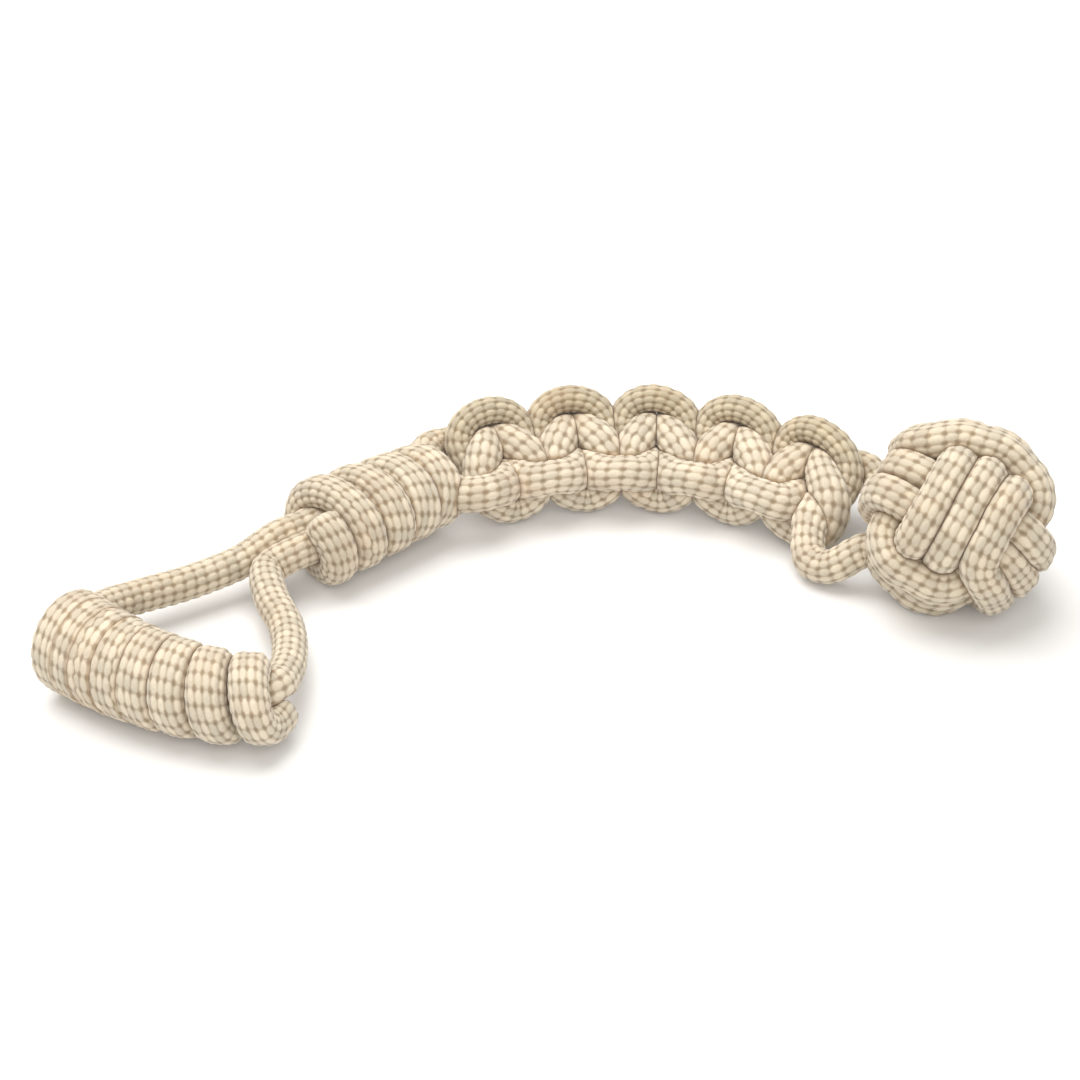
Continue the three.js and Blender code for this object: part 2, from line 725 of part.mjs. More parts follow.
// Least gap of each wound length of rope to itself, between the corners of its surface.
function leastGap(geometry) {
  const position = geometry.attributes.position;
  const corners = [];
  const rings = Math.floor(position.count / sides);
  for (let i = 0; i < rings * sides; i++) {
    corners.push(vec(position.getX(i), position.getY(i), position.getZ(i)));
  }
  const skip = Math.ceil(rope(ownReachShare) / windingStep) + 1;
  let best = Infinity;
  for (let i = 0; i < corners.length; i++) {
    for (let j = (Math.floor(i / sides) + skip) * sides; j < corners.length; j++) {
      best = Math.min(best, corners[i].distanceTo(corners[j]));
    }
  }
  return best;
}
for (const [name, tube] of Object.entries({ fistRope, neckWrap, gripWrap })) {
  console.log("least gap to itself, mm,", name, leastGap(tube).toFixed(2));
}
console.log("moved by", group.position.toArray().map((v) => v.toFixed(2)).join(" "));
console.log("size", bounds.getSize(vec(0, 0, 0)).toArray().map((v) => v.toFixed(1)).join(" "));

export default group;
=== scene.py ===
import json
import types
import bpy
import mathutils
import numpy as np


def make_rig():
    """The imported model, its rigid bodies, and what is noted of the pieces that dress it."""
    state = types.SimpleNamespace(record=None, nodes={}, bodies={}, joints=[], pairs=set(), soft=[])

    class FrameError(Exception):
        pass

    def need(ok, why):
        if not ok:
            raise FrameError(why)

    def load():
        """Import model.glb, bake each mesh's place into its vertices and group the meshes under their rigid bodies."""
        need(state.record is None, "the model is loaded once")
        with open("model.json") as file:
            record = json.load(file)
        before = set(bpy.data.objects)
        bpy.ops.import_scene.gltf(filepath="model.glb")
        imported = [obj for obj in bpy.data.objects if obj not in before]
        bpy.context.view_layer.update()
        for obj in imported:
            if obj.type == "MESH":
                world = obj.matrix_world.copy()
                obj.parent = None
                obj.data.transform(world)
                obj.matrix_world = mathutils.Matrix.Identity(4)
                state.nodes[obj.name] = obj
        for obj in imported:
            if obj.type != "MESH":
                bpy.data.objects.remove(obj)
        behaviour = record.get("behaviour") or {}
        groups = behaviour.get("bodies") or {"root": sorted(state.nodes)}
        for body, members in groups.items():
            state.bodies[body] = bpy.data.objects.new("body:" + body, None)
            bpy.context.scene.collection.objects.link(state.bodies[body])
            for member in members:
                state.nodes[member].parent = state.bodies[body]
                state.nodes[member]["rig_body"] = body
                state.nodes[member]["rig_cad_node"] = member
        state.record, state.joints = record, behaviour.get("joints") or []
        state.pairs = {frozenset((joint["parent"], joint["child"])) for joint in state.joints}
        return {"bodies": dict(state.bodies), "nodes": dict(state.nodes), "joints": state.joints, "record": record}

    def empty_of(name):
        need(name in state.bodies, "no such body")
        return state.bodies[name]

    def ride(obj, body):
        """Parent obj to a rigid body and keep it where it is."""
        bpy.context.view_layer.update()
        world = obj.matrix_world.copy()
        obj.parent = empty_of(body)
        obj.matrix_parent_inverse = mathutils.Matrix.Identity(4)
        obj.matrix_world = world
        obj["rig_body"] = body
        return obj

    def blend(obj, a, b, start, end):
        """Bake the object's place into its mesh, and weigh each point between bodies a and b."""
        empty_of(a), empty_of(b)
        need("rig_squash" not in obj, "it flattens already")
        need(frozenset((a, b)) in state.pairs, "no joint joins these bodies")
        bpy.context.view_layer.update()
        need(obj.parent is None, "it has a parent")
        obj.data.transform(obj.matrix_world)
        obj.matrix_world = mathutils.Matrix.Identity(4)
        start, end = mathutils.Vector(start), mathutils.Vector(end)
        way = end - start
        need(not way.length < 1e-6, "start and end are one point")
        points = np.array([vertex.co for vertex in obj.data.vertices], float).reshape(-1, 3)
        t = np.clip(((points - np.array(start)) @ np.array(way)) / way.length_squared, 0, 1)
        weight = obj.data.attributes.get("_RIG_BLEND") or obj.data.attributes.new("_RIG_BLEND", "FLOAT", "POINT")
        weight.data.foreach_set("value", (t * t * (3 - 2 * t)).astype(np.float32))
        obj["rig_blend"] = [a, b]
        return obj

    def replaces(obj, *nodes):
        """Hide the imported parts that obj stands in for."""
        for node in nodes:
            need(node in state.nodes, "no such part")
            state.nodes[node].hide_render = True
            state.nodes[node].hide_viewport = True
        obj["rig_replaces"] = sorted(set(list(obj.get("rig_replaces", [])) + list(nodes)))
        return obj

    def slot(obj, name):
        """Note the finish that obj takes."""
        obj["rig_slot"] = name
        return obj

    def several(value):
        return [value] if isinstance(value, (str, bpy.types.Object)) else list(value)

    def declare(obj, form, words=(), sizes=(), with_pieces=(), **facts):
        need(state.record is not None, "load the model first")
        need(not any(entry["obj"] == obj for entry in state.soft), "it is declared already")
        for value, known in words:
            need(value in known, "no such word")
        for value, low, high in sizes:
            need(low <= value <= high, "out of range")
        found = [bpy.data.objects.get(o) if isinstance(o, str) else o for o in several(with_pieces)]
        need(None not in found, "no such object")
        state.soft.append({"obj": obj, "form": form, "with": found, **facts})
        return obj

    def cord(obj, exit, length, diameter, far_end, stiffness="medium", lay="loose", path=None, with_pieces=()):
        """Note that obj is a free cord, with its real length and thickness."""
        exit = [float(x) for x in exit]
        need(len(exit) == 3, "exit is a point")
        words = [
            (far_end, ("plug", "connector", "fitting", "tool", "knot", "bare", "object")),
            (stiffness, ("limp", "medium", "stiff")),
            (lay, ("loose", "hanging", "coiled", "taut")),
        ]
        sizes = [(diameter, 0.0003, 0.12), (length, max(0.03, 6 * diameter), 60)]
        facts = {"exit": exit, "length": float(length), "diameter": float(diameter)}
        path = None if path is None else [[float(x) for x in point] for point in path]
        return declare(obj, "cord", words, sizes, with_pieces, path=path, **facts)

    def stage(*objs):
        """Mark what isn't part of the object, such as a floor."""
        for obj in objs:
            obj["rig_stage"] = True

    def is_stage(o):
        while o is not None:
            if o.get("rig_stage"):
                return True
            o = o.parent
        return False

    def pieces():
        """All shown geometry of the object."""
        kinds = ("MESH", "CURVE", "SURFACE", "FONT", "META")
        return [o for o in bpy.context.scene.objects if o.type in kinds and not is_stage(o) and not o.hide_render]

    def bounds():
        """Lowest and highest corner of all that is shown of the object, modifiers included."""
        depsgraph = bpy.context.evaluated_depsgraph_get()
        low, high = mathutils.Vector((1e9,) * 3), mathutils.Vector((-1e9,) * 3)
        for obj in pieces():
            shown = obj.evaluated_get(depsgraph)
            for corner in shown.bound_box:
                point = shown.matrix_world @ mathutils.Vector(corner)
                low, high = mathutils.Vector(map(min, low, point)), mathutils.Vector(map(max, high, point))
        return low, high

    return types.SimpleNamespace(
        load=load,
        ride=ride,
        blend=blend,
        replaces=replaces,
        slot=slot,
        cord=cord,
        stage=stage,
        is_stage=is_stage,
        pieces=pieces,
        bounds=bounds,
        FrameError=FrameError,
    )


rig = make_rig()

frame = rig.load()

import json
import math

import bpy
import numpy as np
from mathutils import Vector

cad_box = [list(v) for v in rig.bounds()]

# Rope dog toy: a wound grip on a loop of rope, a bound neck, a band of square knots and a fist
# knot for a ball, tied from one long rope and two windings. Centrelines are worked out in
# millimetres, in the plan that the knots were laid out in, and moved to the part's frame by
# where the handle's hinge lies there. Shares are of the rope's diameter. The near side is the
# side towards the camera.
DIAMETER = 11.0
MM_IN_METRE = 1000
TAU = 2 * math.pi
UP = np.array([0.0, 0.0, 1.0])
RIGHT = np.array([1.0, 0, 0])
NEAR, FAR = -1, 1
WORDS = {NEAR: "near", FAR: "far"}
VIEW_DOWN = math.radians(33)

# Heights of the centrelines in the plan
NECK_Z, BAND_Z, BALL_Z, GRIP_Z = 15.9, 19.2, 30.65, 15.9

# Neck: its two ends, how far each strand lies from its middle line there, as shares, the share
# before its end at which the strands turn off to the first bar, how far behind its start the
# legs bend, and how far inside its start the legs' pieces end
NECK_START = np.array([-79.9, -23.9])
NECK_END = np.array([-35.4, 10.1])
STRAND_START, STRAND_END = 0.53, 0.4
TURN_OFF = 0.8
ROOT_LEAD = DIAMETER / 2 + 0.17
LEG_INSIDE = 5.0

# Band: the arc it lies along, how far it rolls over, its whole knots, the length of a knot and
# the first bar's place past the neck's end, as shares, the turn of the knot there, the sizes
# of the waves across the band, above it and along it, as shares, how much more the last knot
# leans than the first, and the step from point to point
ARC_RADIUS, ARC_LENGTH = 102.4, 128.0
ROLL = math.radians(26)
KNOTS = 5
PERIOD = 2.55
FIRST_BAR = 1.0
FIRST_TURN = 0.25
FIRST_PHASE, LAST_PHASE = FIRST_TURN * TAU, (KNOTS + FIRST_TURN) * TAU
ACROSS = (1.455, -0.001, -0.036)
RAISED = (-0.165, 0.46, 0.007)
HOOK = (-0.558, -0.059, 0.011)
SKEW = 0.3
PHASE_STEP = TAU / 60

# The near cord's last bight: how far it hangs loose, out and down, as shares, and over which
# phase, and how far the bar before it leans forwards, with the turns from the end at which
# that starts, is whole and begins to fade
LOOSE_OUT, LOOSE_DOWN, LOOSE_REACH = 0.9, 1.05, 0.18 * TAU
LAST_BAR_LEAN = 0.3
LEAN_STARTS, LEAN_FULL, LEAN_FADES = 0.5, 0.28, 0.22

# Handle: points of the grip's middle line and of the two legs, worked out
GRIP_AXIS = [(-148.8, -84.2), (-129.8, -99.4), (-109.9, -110.2), (-94, -115)]
GRIP_END = (-82.5, -117.2)
FAR_LEG = [(-98.7, -31.4, 12.5), (-115.8, -42.4, 11), (-133.5, -53.4, 12), (-142.8, -62.3, 14)]
FAR_LEG_END = (-147.5, -73.5)
NEAR_LEG = [(-90, -38, 13), (-87.8, -54, 12), (-82.3, -69, 12), (-80, -84, 12.5), (-80.5, -99, 14)]
NEAR_LEG_END = (-84.5, -111)
HANDLE_SAMPLE = 1.1

# Windings: half width at the start and end and half height at the start and end, as shares,
# turns, angle of the start, how the pitch grows, how the turns lean, as a share, and how far
# the end of the axis rises; how far inside the neck's ends its axis starts and ends, and the
# straight lead at each end, as shares
NECK_WRAP, NECK_TURNS = ((1.42, 0.93), (1.03, 0.76)), 4.42
NECK_WRAP_START, NECK_GROWTH, NECK_LEAN, NECK_RISE = math.radians(130), -0.14, 0.4, 1.6
NECK_INSETS = (0.25, 0.3)
GRIP_WRAP, GRIP_TURNS = ((1.02, 0.86), (1.02, 0.78)), 7.66
GRIP_WRAP_START, GRIP_GROWTH, GRIP_LEAN, GRIP_RISE = math.radians(50), 0.26, 0, 1.5
WRAP_LEAD = 0.4
POINTS_PER_TURN = 30

# Fist knot, as shares: radius of the passes outside and where they dive under, distance between
# passes, radius of the core, and how much closer in the two outer passes of a band lie
BALL_XY = (137.6, -34.0)
FIST_OUT, FIST_IN, FIST_PITCH, FIST_CORE = 2.58, 1.55, 0.97, 0.86
OUTER_PASS_DIP = 0.15

# Its turn to the view, the degrees from and to which a band runs and their step, between which
# degrees from its outermost place a pass dives, and over which it changes lanes
FIST_TURN = math.radians(50)
BAND_FROM, BAND_TO, BAND_STEP = 20, -921, -12.0
DIVE_FROM, DIVE_TO = 38, 74
FIRST_CHANGE, SECOND_CHANGE = (225, 315), (585, 675)

# How it is pulled snug, as shares: spacing of its points, least distance between passes,
# stretch of its own line that a point ignores, and least radius; rounds, and how much of the
# push and of the straightening each round takes
FIST_SPACING, SNUG, IGNORED, LEAST_RADIUS = 0.42, 0.94, 1.35, 1.45
SNUG_ROUNDS, PUSH, STRAIGHTEN = 260, 0.25, 0.12

# Where the ball's tails end: the turn that they take part in, and its radius as a share
DIVE_TURN, DIVE_RADIUS = 90 / 360, 1.97

# Curves: least root of a distance, steps from point to point, points of a bridge, and how far
# its handles pull
LEAST_ROOT = 1e-9
CURVE_STEPS, BRIDGE_POINTS = 24, 11
LEAD_PULL, TAIL_PULL = 0.4, 0.5


def unit(v):
    """The vectors with their lengths made one."""
    return v / np.linalg.norm(v, axis=-1, keepdims=True)


def smooth(x, low, high):
    """Smooth step from 0 at low to 1 at high."""
    t = np.clip((np.asarray(x, float) - low) / (high - low), 0, 1)
    return t * t * (3 - 2 * t)


def knot_gap(a, b):
    """The root of each pair's distance, the spacing of a centripetal curve's knots."""
    return np.maximum(np.sum((b - a) ** 2, 1) ** 0.25, LEAST_ROOT)[:, None]


def length_along(line):
    """The distance along a line of points to each of them."""
    return np.concatenate([[0], np.cumsum(np.linalg.norm(np.diff(line, axis=0), axis=1))])


def sampled(points, step=None, shares=None):
    """Points along the centripetal Catmull-Rom curve through the given points: a cubic from
    each point to the next, whose slopes come from the points on both sides. They are evenly
    spaced by about a step, or lie at given shares of the length."""
    p = np.asarray(points, float)
    p = np.vstack([2 * p[0] - p[1], p, 2 * p[-1] - p[-2]])
    p0, p1, p2, p3 = p[:-3], p[1:-2], p[2:-1], p[3:]
    d0, d1, d2 = knot_gap(p0, p1), knot_gap(p1, p2), knot_gap(p2, p3)
    slope1 = ((p1 - p0) / d0 - (p2 - p0) / (d0 + d1) + (p2 - p1) / d1) * d1
    slope2 = ((p2 - p1) / d1 - (p3 - p1) / (d1 + d2) + (p3 - p2) / d2) * d1
    squares = -3 * p1 + 3 * p2 - 2 * slope1 - slope2
    cubes = 2 * p1 - 2 * p2 + slope1 + slope2
    w = np.linspace(0, 1, CURVE_STEPS + 1)[:-1][None, :, None]
    a, b, c, d = (x[:, None] for x in (p1, slope1, squares, cubes))
    line = np.vstack([(a + b * w + c * w**2 + d * w**3).reshape(-1, 3), p2[-1]])
    length = length_along(line)
    if shares is None:
        shares = np.linspace(0, 1, max(2, round(length[-1] / step)) + 1)
    at = np.asarray(shares) * length[-1]
    return np.stack([np.interp(at, length, line[:, i]) for i in range(3)], 1)


# Neck and band
neck_vector = NECK_END - NECK_START
NECK_LENGTH = float(np.hypot(*neck_vector))
NECK_HEADING = math.atan2(neck_vector[1], neck_vector[0])


def spine(s):
    """The middle line of neck and band s millimetres past the neck's end: straight, then a
    circle's arc, then straight. Returns its points and the directions forward, across, raised
    and level to the left. Across and raised roll over as the first bar is reached."""
    s = np.atleast_1d(np.asarray(s, float))
    on_arc = np.clip(s, 0, ARC_LENGTH)
    angle = NECK_HEADING - on_arc / ARC_RADIUS
    forward = np.stack([np.cos(angle), np.sin(angle), 0 * angle], 1)
    left = np.stack([-np.sin(angle), np.cos(angle), 0 * angle], 1)
    centre = [NECK_END[0] + ARC_RADIUS * math.sin(NECK_HEADING),
              NECK_END[1] - ARC_RADIUS * math.cos(NECK_HEADING), 0]
    origin = centre + left * ARC_RADIUS + forward * (s - on_arc)[:, None]
    share = smooth(s, 0, FIRST_BAR * DIAMETER)
    origin[:, 2] = NECK_Z + (BAND_Z - NECK_Z) * share
    roll = (ROLL * share)[:, None]
    across = left * np.cos(roll) + UP * np.sin(roll)
    raised = UP * np.cos(roll) - left * np.sin(roll)
    return origin, forward, across, raised, left


def band(s, across, raised):
    """Points at a place along the band, across it and above it."""
    o, _, a, r, _ = spine(s)
    return o + a * np.atleast_1d(across)[:, None] + r * np.atleast_1d(raised)[:, None]


def cord(phase, side):
    """One cord of the band at phases of the knot: three sines across it, a constant and two
    cosines above it, and the phase itself with three sines along it, leaning more from knot to
    knot. The near cord's last bar leans forwards, and its last bight hangs loose."""
    f = np.atleast_1d(np.asarray(phase, float))
    w = ACROSS[0] * np.sin(f) + ACROSS[1] * np.sin(3 * f) + ACROSS[2] * np.sin(5 * f)
    t = RAISED[0] + RAISED[1] * np.cos(2 * f) + RAISED[2] * np.cos(4 * f)
    hook = HOOK[0] * np.sin(2 * f) + HOOK[1] * np.sin(4 * f) + HOOK[2] * np.sin(6 * f)
    skew = SKEW * (f - FIRST_PHASE) / (LAST_PHASE - FIRST_PHASE) * side * w
    s = DIAMETER * (FIRST_BAR + PERIOD * (f / TAU - FIRST_TURN) + hook - skew)
    p = band(s, side * w * DIAMETER, side * t * DIAMETER)
    if side == NEAR:
        loose = smooth(f, LAST_PHASE - LOOSE_REACH, LAST_PHASE)[:, None]
        rising = smooth(f, LAST_PHASE - LEAN_STARTS * TAU, LAST_PHASE - LEAN_FULL * TAU)
        fading = 1 - smooth(f, LAST_PHASE - LEAN_FADES * TAU, LAST_PHASE)
        lean = (rising * fading)[:, None]
        _, forward, _, _, left = spine(s)
        p = (p - left * LOOSE_OUT * DIAMETER * loose - UP * LOOSE_DOWN * DIAMETER * loose
             + forward * LAST_BAR_LEAN * DIAMETER * lean)
    return p


def bridge(a, heading_a, b, heading_b, pull):
    """Points of the cubic Bezier curve that leaves a along its heading and meets b along b's,
    with handles as long as the distance from a to b times the pull."""
    r = np.linalg.norm(b - a) * pull
    t = np.linspace(0, 1, BRIDGE_POINTS)[:, None]
    return (a * (1 - t) ** 3 + 3 * (a + heading_a * r) * t * (1 - t) ** 2
            + 3 * (b - heading_b * r) * t**2 * (1 - t) + b * t**3)


def heading(line, i):
    """Direction of a line of points at a point of it."""
    i = i % len(line)
    return unit(line[min(i + 1, len(line) - 1)] - line[max(i - 1, 0)])


# Fist knot: its three axes are one towards the view and two across it, turned from level.
FACE = np.array([0, -math.cos(VIEW_DOWN), math.sin(VIEW_DOWN)])
PASS = RIGHT * math.cos(FIST_TURN) + np.cross(FACE, RIGHT) * math.sin(FIST_TURN)
BALL = np.array([*BALL_XY, BALL_Z])
FIST_BASIS = np.stack([FACE, PASS, np.cross(FACE, PASS)])

# Each band of the fist knot: the axis its passes lie outermost on and its sign, the axis they
# dive on and its sign, and the axis its passes are set apart on and its sign
FIST_BANDS = ((1, -1, 2, 1, 0, -1), (2, 1, 0, 1, 1, 1), (0, 1, 1, -1, 2, -1))


def fist_line():
    """Three bands of three passes, each over one neighbour and under the other. A band is a
    circle whose radius drops where it dives, and which moves sideways by one pitch from pass
    to pass. Then points closer than snug push each other apart, and the line is straightened
    a little and kept between two radii, many times over."""
    parts = []
    for over, over_sign, under, under_sign, apart, apart_sign in FIST_BANDS:
        degrees = np.arange(BAND_FROM, BAND_TO, BAND_STEP)
        a = np.radians(degrees)
        dive = smooth(np.degrees(np.arcsin(np.abs(np.sin(a)))), DIVE_FROM, DIVE_TO)
        lane = 1 - smooth(-degrees, *FIRST_CHANGE) - smooth(-degrees, *SECOND_CHANGE)
        radius = FIST_OUT + (FIST_IN - FIST_OUT) * dive - OUTER_PASS_DIP * lane**2
        p = np.zeros((len(a), 3))
        p[:, over] = over_sign * radius * np.cos(a)
        p[:, under] = under_sign * radius * np.sin(a)
        p[:, apart] = apart_sign * lane * FIST_PITCH
        parts.append(p)
    line = sampled(np.vstack(parts), FIST_SPACING)
    i, j = np.triu_indices(len(line), math.ceil(IGNORED / FIST_SPACING))
    for _ in range(SNUG_ROUNDS):
        between = line[i] - line[j]
        distance = np.linalg.norm(between, axis=1)
        near = distance < SNUG
        push = between[near] * ((SNUG - distance[near]) / distance[near] * PUSH)[:, None]
        move = np.zeros_like(line)
        np.add.at(move, i[near], push)
        np.add.at(move, j[near], -push)
        move[1:-1] += STRAIGHTEN * ((line[:-2] + line[2:]) / 2 - line[1:-1])
        line[1:-1] += move[1:-1]
        length = np.linalg.norm(line[1:-1], axis=1, keepdims=True)
        line[1:-1] *= np.clip(length, LEAST_RADIUS, FIST_OUT) / length
    return line @ FIST_BASIS * DIAMETER + BALL


fist = fist_line()


def cord_line(side):
    """A cord from the neck's back end through the neck and the band to its last bight."""
    s = np.arange(-NECK_LENGTH, -TURN_OFF * DIAMETER - HANDLE_SAMPLE, DIAMETER)
    spread = STRAND_END - (STRAND_END - STRAND_START) * s / -NECK_LENGTH
    lead = band(s, side * DIAMETER * spread, 0)
    start = band(-TURN_OFF * DIAMETER, side * STRAND_END * DIAMETER, 0)[0]
    first, second = cord([FIRST_PHASE, FIRST_PHASE + PHASE_STEP], side)
    run = bridge(start, spine(0)[1][0], first, unit(second - first), LEAD_PULL)
    count = round((LAST_PHASE - FIRST_PHASE) / PHASE_STEP)
    phases = FIRST_PHASE + PHASE_STEP * np.arange(1, count + 1)
    return np.vstack([lead, run, cord(phases, side)])


near_cord, far_cord = cord_line(NEAR), cord_line(FAR)
near_tail = bridge(near_cord[-1], heading(near_cord, -1), fist[0], heading(fist, 0), TAIL_PULL)
far_tail = bridge(fist[-1], heading(fist, -1), far_cord[-1], -heading(far_cord, -1), TAIL_PULL)

# The middle of the neck's back end, where the handle's legs leave it, and its directions
back, back_forward, back_across = (v[0] for v in spine(-NECK_LENGTH)[:3])


def mouth(side, lead):
    """Centre of a strand at a distance behind the neck's back end."""
    return back - back_forward * lead + back_across * side * STRAND_START * DIAMETER


def leg_points(side, points, end):
    """Points of a leg from the neck's back end to the grip."""
    return [mouth(side, 0), mouth(side, ROOT_LEAD), *np.array(points, float), np.array([*end, GRIP_Z])]


grip_axis = np.array([(x, y, GRIP_Z) for x, y in GRIP_AXIS])
near_leg, far_leg = leg_points(NEAR, NEAR_LEG, NEAR_LEG_END), leg_points(FAR, FAR_LEG, FAR_LEG_END)
handle = sampled([*near_leg, *grip_axis[::-1], *far_leg[::-1]], HANDLE_SAMPLE)


def winding(axis, radii, turns, start, growth, lean):
    """A winding round a line: it goes round an ellipse across the line while it moves along
    it, by u + growth (u cubed - u) at share u. The ellipse's half width and half height change
    from end to end, and the turns lean more towards the end. Each end has a straight lead."""
    u = np.linspace(0, 1, math.ceil(turns * POINTS_PER_TURN) + 1)
    p = sampled(axis, shares=u + growth * (u**3 - u))
    t = unit(np.gradient(p, axis=0))
    side = unit(np.cross(UP, t))
    a = start + TAU * turns * u
    wide, tall = ((first + (last - first) * u) * DIAMETER for first, last in radii)
    q = p + side * (wide * np.cos(a))[:, None] + UP * (tall * np.sin(a))[:, None]
    q = q + t * (lean * DIAMETER * u * np.sin(a))[:, None]
    first, last = heading(q, 0), heading(q, -1)
    lead = WRAP_LEAD * DIAMETER
    return np.vstack([q[0] - first * lead, q[0] - first * lead / 2, q,
                      q[-1] + last * lead / 2, q[-1] + last * lead])


neck_axis = np.vstack([band(-NECK_LENGTH + NECK_INSETS[0] * DIAMETER, 0, 0),
                       band(-NECK_INSETS[1] * DIAMETER, 0, NECK_RISE)])
sleeve_axis = np.vstack([grip_axis, [*GRIP_END, GRIP_Z + GRIP_RISE]])
neck_wrap = winding(neck_axis, NECK_WRAP, NECK_TURNS, NECK_WRAP_START, NECK_GROWTH, NECK_LEAN)
grip_wrap = winding(sleeve_axis, GRIP_WRAP, GRIP_TURNS, GRIP_WRAP_START, GRIP_GROWTH, GRIP_LEAN)

# The long rope: from the middle of the grip along the near leg, through the neck, the near
# cord, the fist, the far cord and the neck again, and along the far leg back to the grip.
half_grip = int(np.argmin(np.linalg.norm(handle - grip_axis[1:3].mean(0), axis=1)))
long_rope = np.vstack([handle[half_grip:0:-1], near_cord, near_tail[1:-1], fist, far_tail[1:-1],
                       far_cord[::-1], handle[:half_grip:-1][1:]])

axis_of = {j["name"]: (np.array(j["pos_m"]), j["parent"], j["child"]) for j in frame["joints"]}
SHIFT = (axis_of["handle_fold"][0] * MM_IN_METRE
         - (mouth(NEAR, ROOT_LEAD) + mouth(FAR, ROOT_LEAD)) / 2)
FLOOR = -SHIFT[2]

# Surface of the ropes: distance between rings, columns of the braid, points to a column, length
# of a braid cell, depth of the relief, and how much of it is lost where the rope is pressed
STEP = 0.6
LONG_COLUMNS, WRAP_COLUMNS = 12, 14
PER_COLUMN = 5
LEG_CELL, BAND_CELL, FIST_CELL, WRAP_CELL = 4.15, 4.7, 4.9, 4.8
RELIEF = 0.6
FLATTENED = 0.9

# The braid's slant and the half sizes of its ovals along and round, in cells and columns, the
# power that rounds them, the tan ones' height, and the length of a rounded end and the least
# that is left of the radius's square at its tip
SLANT = 0.1
CREAM_OVAL = (0.48, 0.44)
TAN_OVAL = (0.28, 0.3)
OVAL_POWER = 2.0
TAN_HEIGHT = 0.62
CAP_LENGTH, CAP_TIP = 3.2, 0.0004

# Radius of each rope before its neighbours press it, how much more and less it is at the
# band's near and far edge, and from how far across to how far that comes on, how far before
# the neck's end its strands swell, and how far the outer side of the fist and of the windings
# may stand out
LEG_RADIUS, NECK_RADIUS, FIST_RADIUS = 5.95, 6.4, 6.2
NECK_WRAP_RADIUS, GRIP_WRAP_RADIUS = 6.2, 6.3
NEAR_EDGE_SWELLS, FAR_EDGE_SHRINKS = 0.05, 0.95
NEAR_EDGE, FAR_EDGE = (0.55, 1.0), (0.15, 0.85)
SWELLS_BEFORE = 8
FIST_FLAT, WRAP_FLAT, NO_FLAT = 5.9, 5.8, 99.0

# How much each rope is darkened and yellowed, from 0 to 1, with the least along the band, and
# where across it the painted shade of the band's far edge comes on
LONG_DIMMED, NECK_WRAP_DIMMED, GRIP_WRAP_DIMMED = 0.35, 0.25, 0.2
BAND_DIMMED, SHADED_EDGE = 0.1, (0.1, 0.8)

# Rings over which values fade into the fist and into the band, and over which radius, darkening
# and bend are evened on each side; phases tried along the band; and rings of the ball that are
# passed over in the search for its end
FIST_FADE, BAND_FADE = 60, 20
RADIUS_EVENED, DIMMED_EVENED, BEND_EVENED = 6, 12, 9
BAND_PHASES = 401
BALL_RINGS = 200

# How much of the extra length round the outside of a bend counts for the braid's cells, and
# the spacing of the points that a winding's core is taken at
STRETCH = 0.7
CORE_SPACING = 1.0

# Pressing: rings worked out at once, the step between the rings that count as neighbours, how
# many of the nearest are looked at, the distance along its own rope in which a ring has none,
# and the gap between pressed ropes
RINGS_AT_ONCE = 160
NEIGHBOUR_STEP = 2
NEIGHBOURS = 110
OWN_REACH = 2.5
PRESSED_GAP = 0.01

# Least reach and greatest bulge of a pressed side, as shares of its radius; how sharply free
# turns into pressed; from how far above its free reach a limit starts to press a side, and how
# far below it wholly does, as shares; a distance that presses nothing, the farthest that the
# soft minimum takes, and the least share of a direction that a limit is divided by
LEAST_REACH, MOST_BULGE = 0.3, 1.25
SHARPNESS = 3
PRESSES_FROM, WHOLLY_PRESSED = 0.2, 0.12
FAR_OFF = 1e3
FARTHEST_LIMIT = 9
LEAST_FACING, LEAST_OUTWARD, LEAST_DOWN = 1e-6, 0.05, 0.02


class Rope:
    """A length of rope: its rings' centres and frames, and at each its free radius, how much it is
    darkened, how far its outer side may stand out, and which way is out, away from the core."""

    def __init__(self, points, columns, radius, worn, flat, core):
        self.columns, self.around = columns, columns * PER_COLUMN
        self.line = sampled(points, STEP)
        n = len(self.line)
        self.arc = length_along(self.line)
        self.tangent = unit(np.gradient(self.line, axis=0))
        bend = np.linalg.norm(np.gradient(self.tangent, axis=0), axis=1) / STEP
        window = np.hanning(2 * BEND_EVENED + 1)[1:-1] / BEND_EVENED
        bend = np.convolve(np.pad(bend, BEND_EVENED - 1, mode="edge"), window, "valid")
        self.grow = 1 + STRETCH * DIAMETER / 2 * bend
        normal = np.zeros((n, 3))
        v = np.cross(self.tangent[0], UP)
        # Each ring takes over the last one's direction, so that the frames don't twist.
        for i, t in enumerate(self.tangent):
            v = v - t * (v @ t)
            v = v / math.sqrt(v @ v)
            normal[i] = v
        self.normal, self.binormal = normal, np.cross(self.tangent, normal)
        self.plump, self.worn, self.flat = np.full(n, radius), np.full(n, worn), np.full(n, flat)
        gap = self.line[:, None] - core[None]
        nearest = np.argmin(np.sum(gap**2, 2), 1)
        self.out = unit(gap[np.arange(n), nearest])

    def spread(self, cell):
        """Count the braid's cells along the rope, each as long as its place asks. In a bend the
        length is mostly taken round the outside, so that the cells there aren't stretched."""
        rate = self.grow / cell
        self.cells = np.concatenate([[0], np.cumsum(0.5 * (rate[1:] + rate[:-1]) * np.diff(self.arc))])

    def index(self, point, low=0, high=None):
        """The ring nearest to a point, within part of the rope."""
        part = self.line[low:high]
        return low + int(np.argmin(np.linalg.norm(part - point, axis=1)))


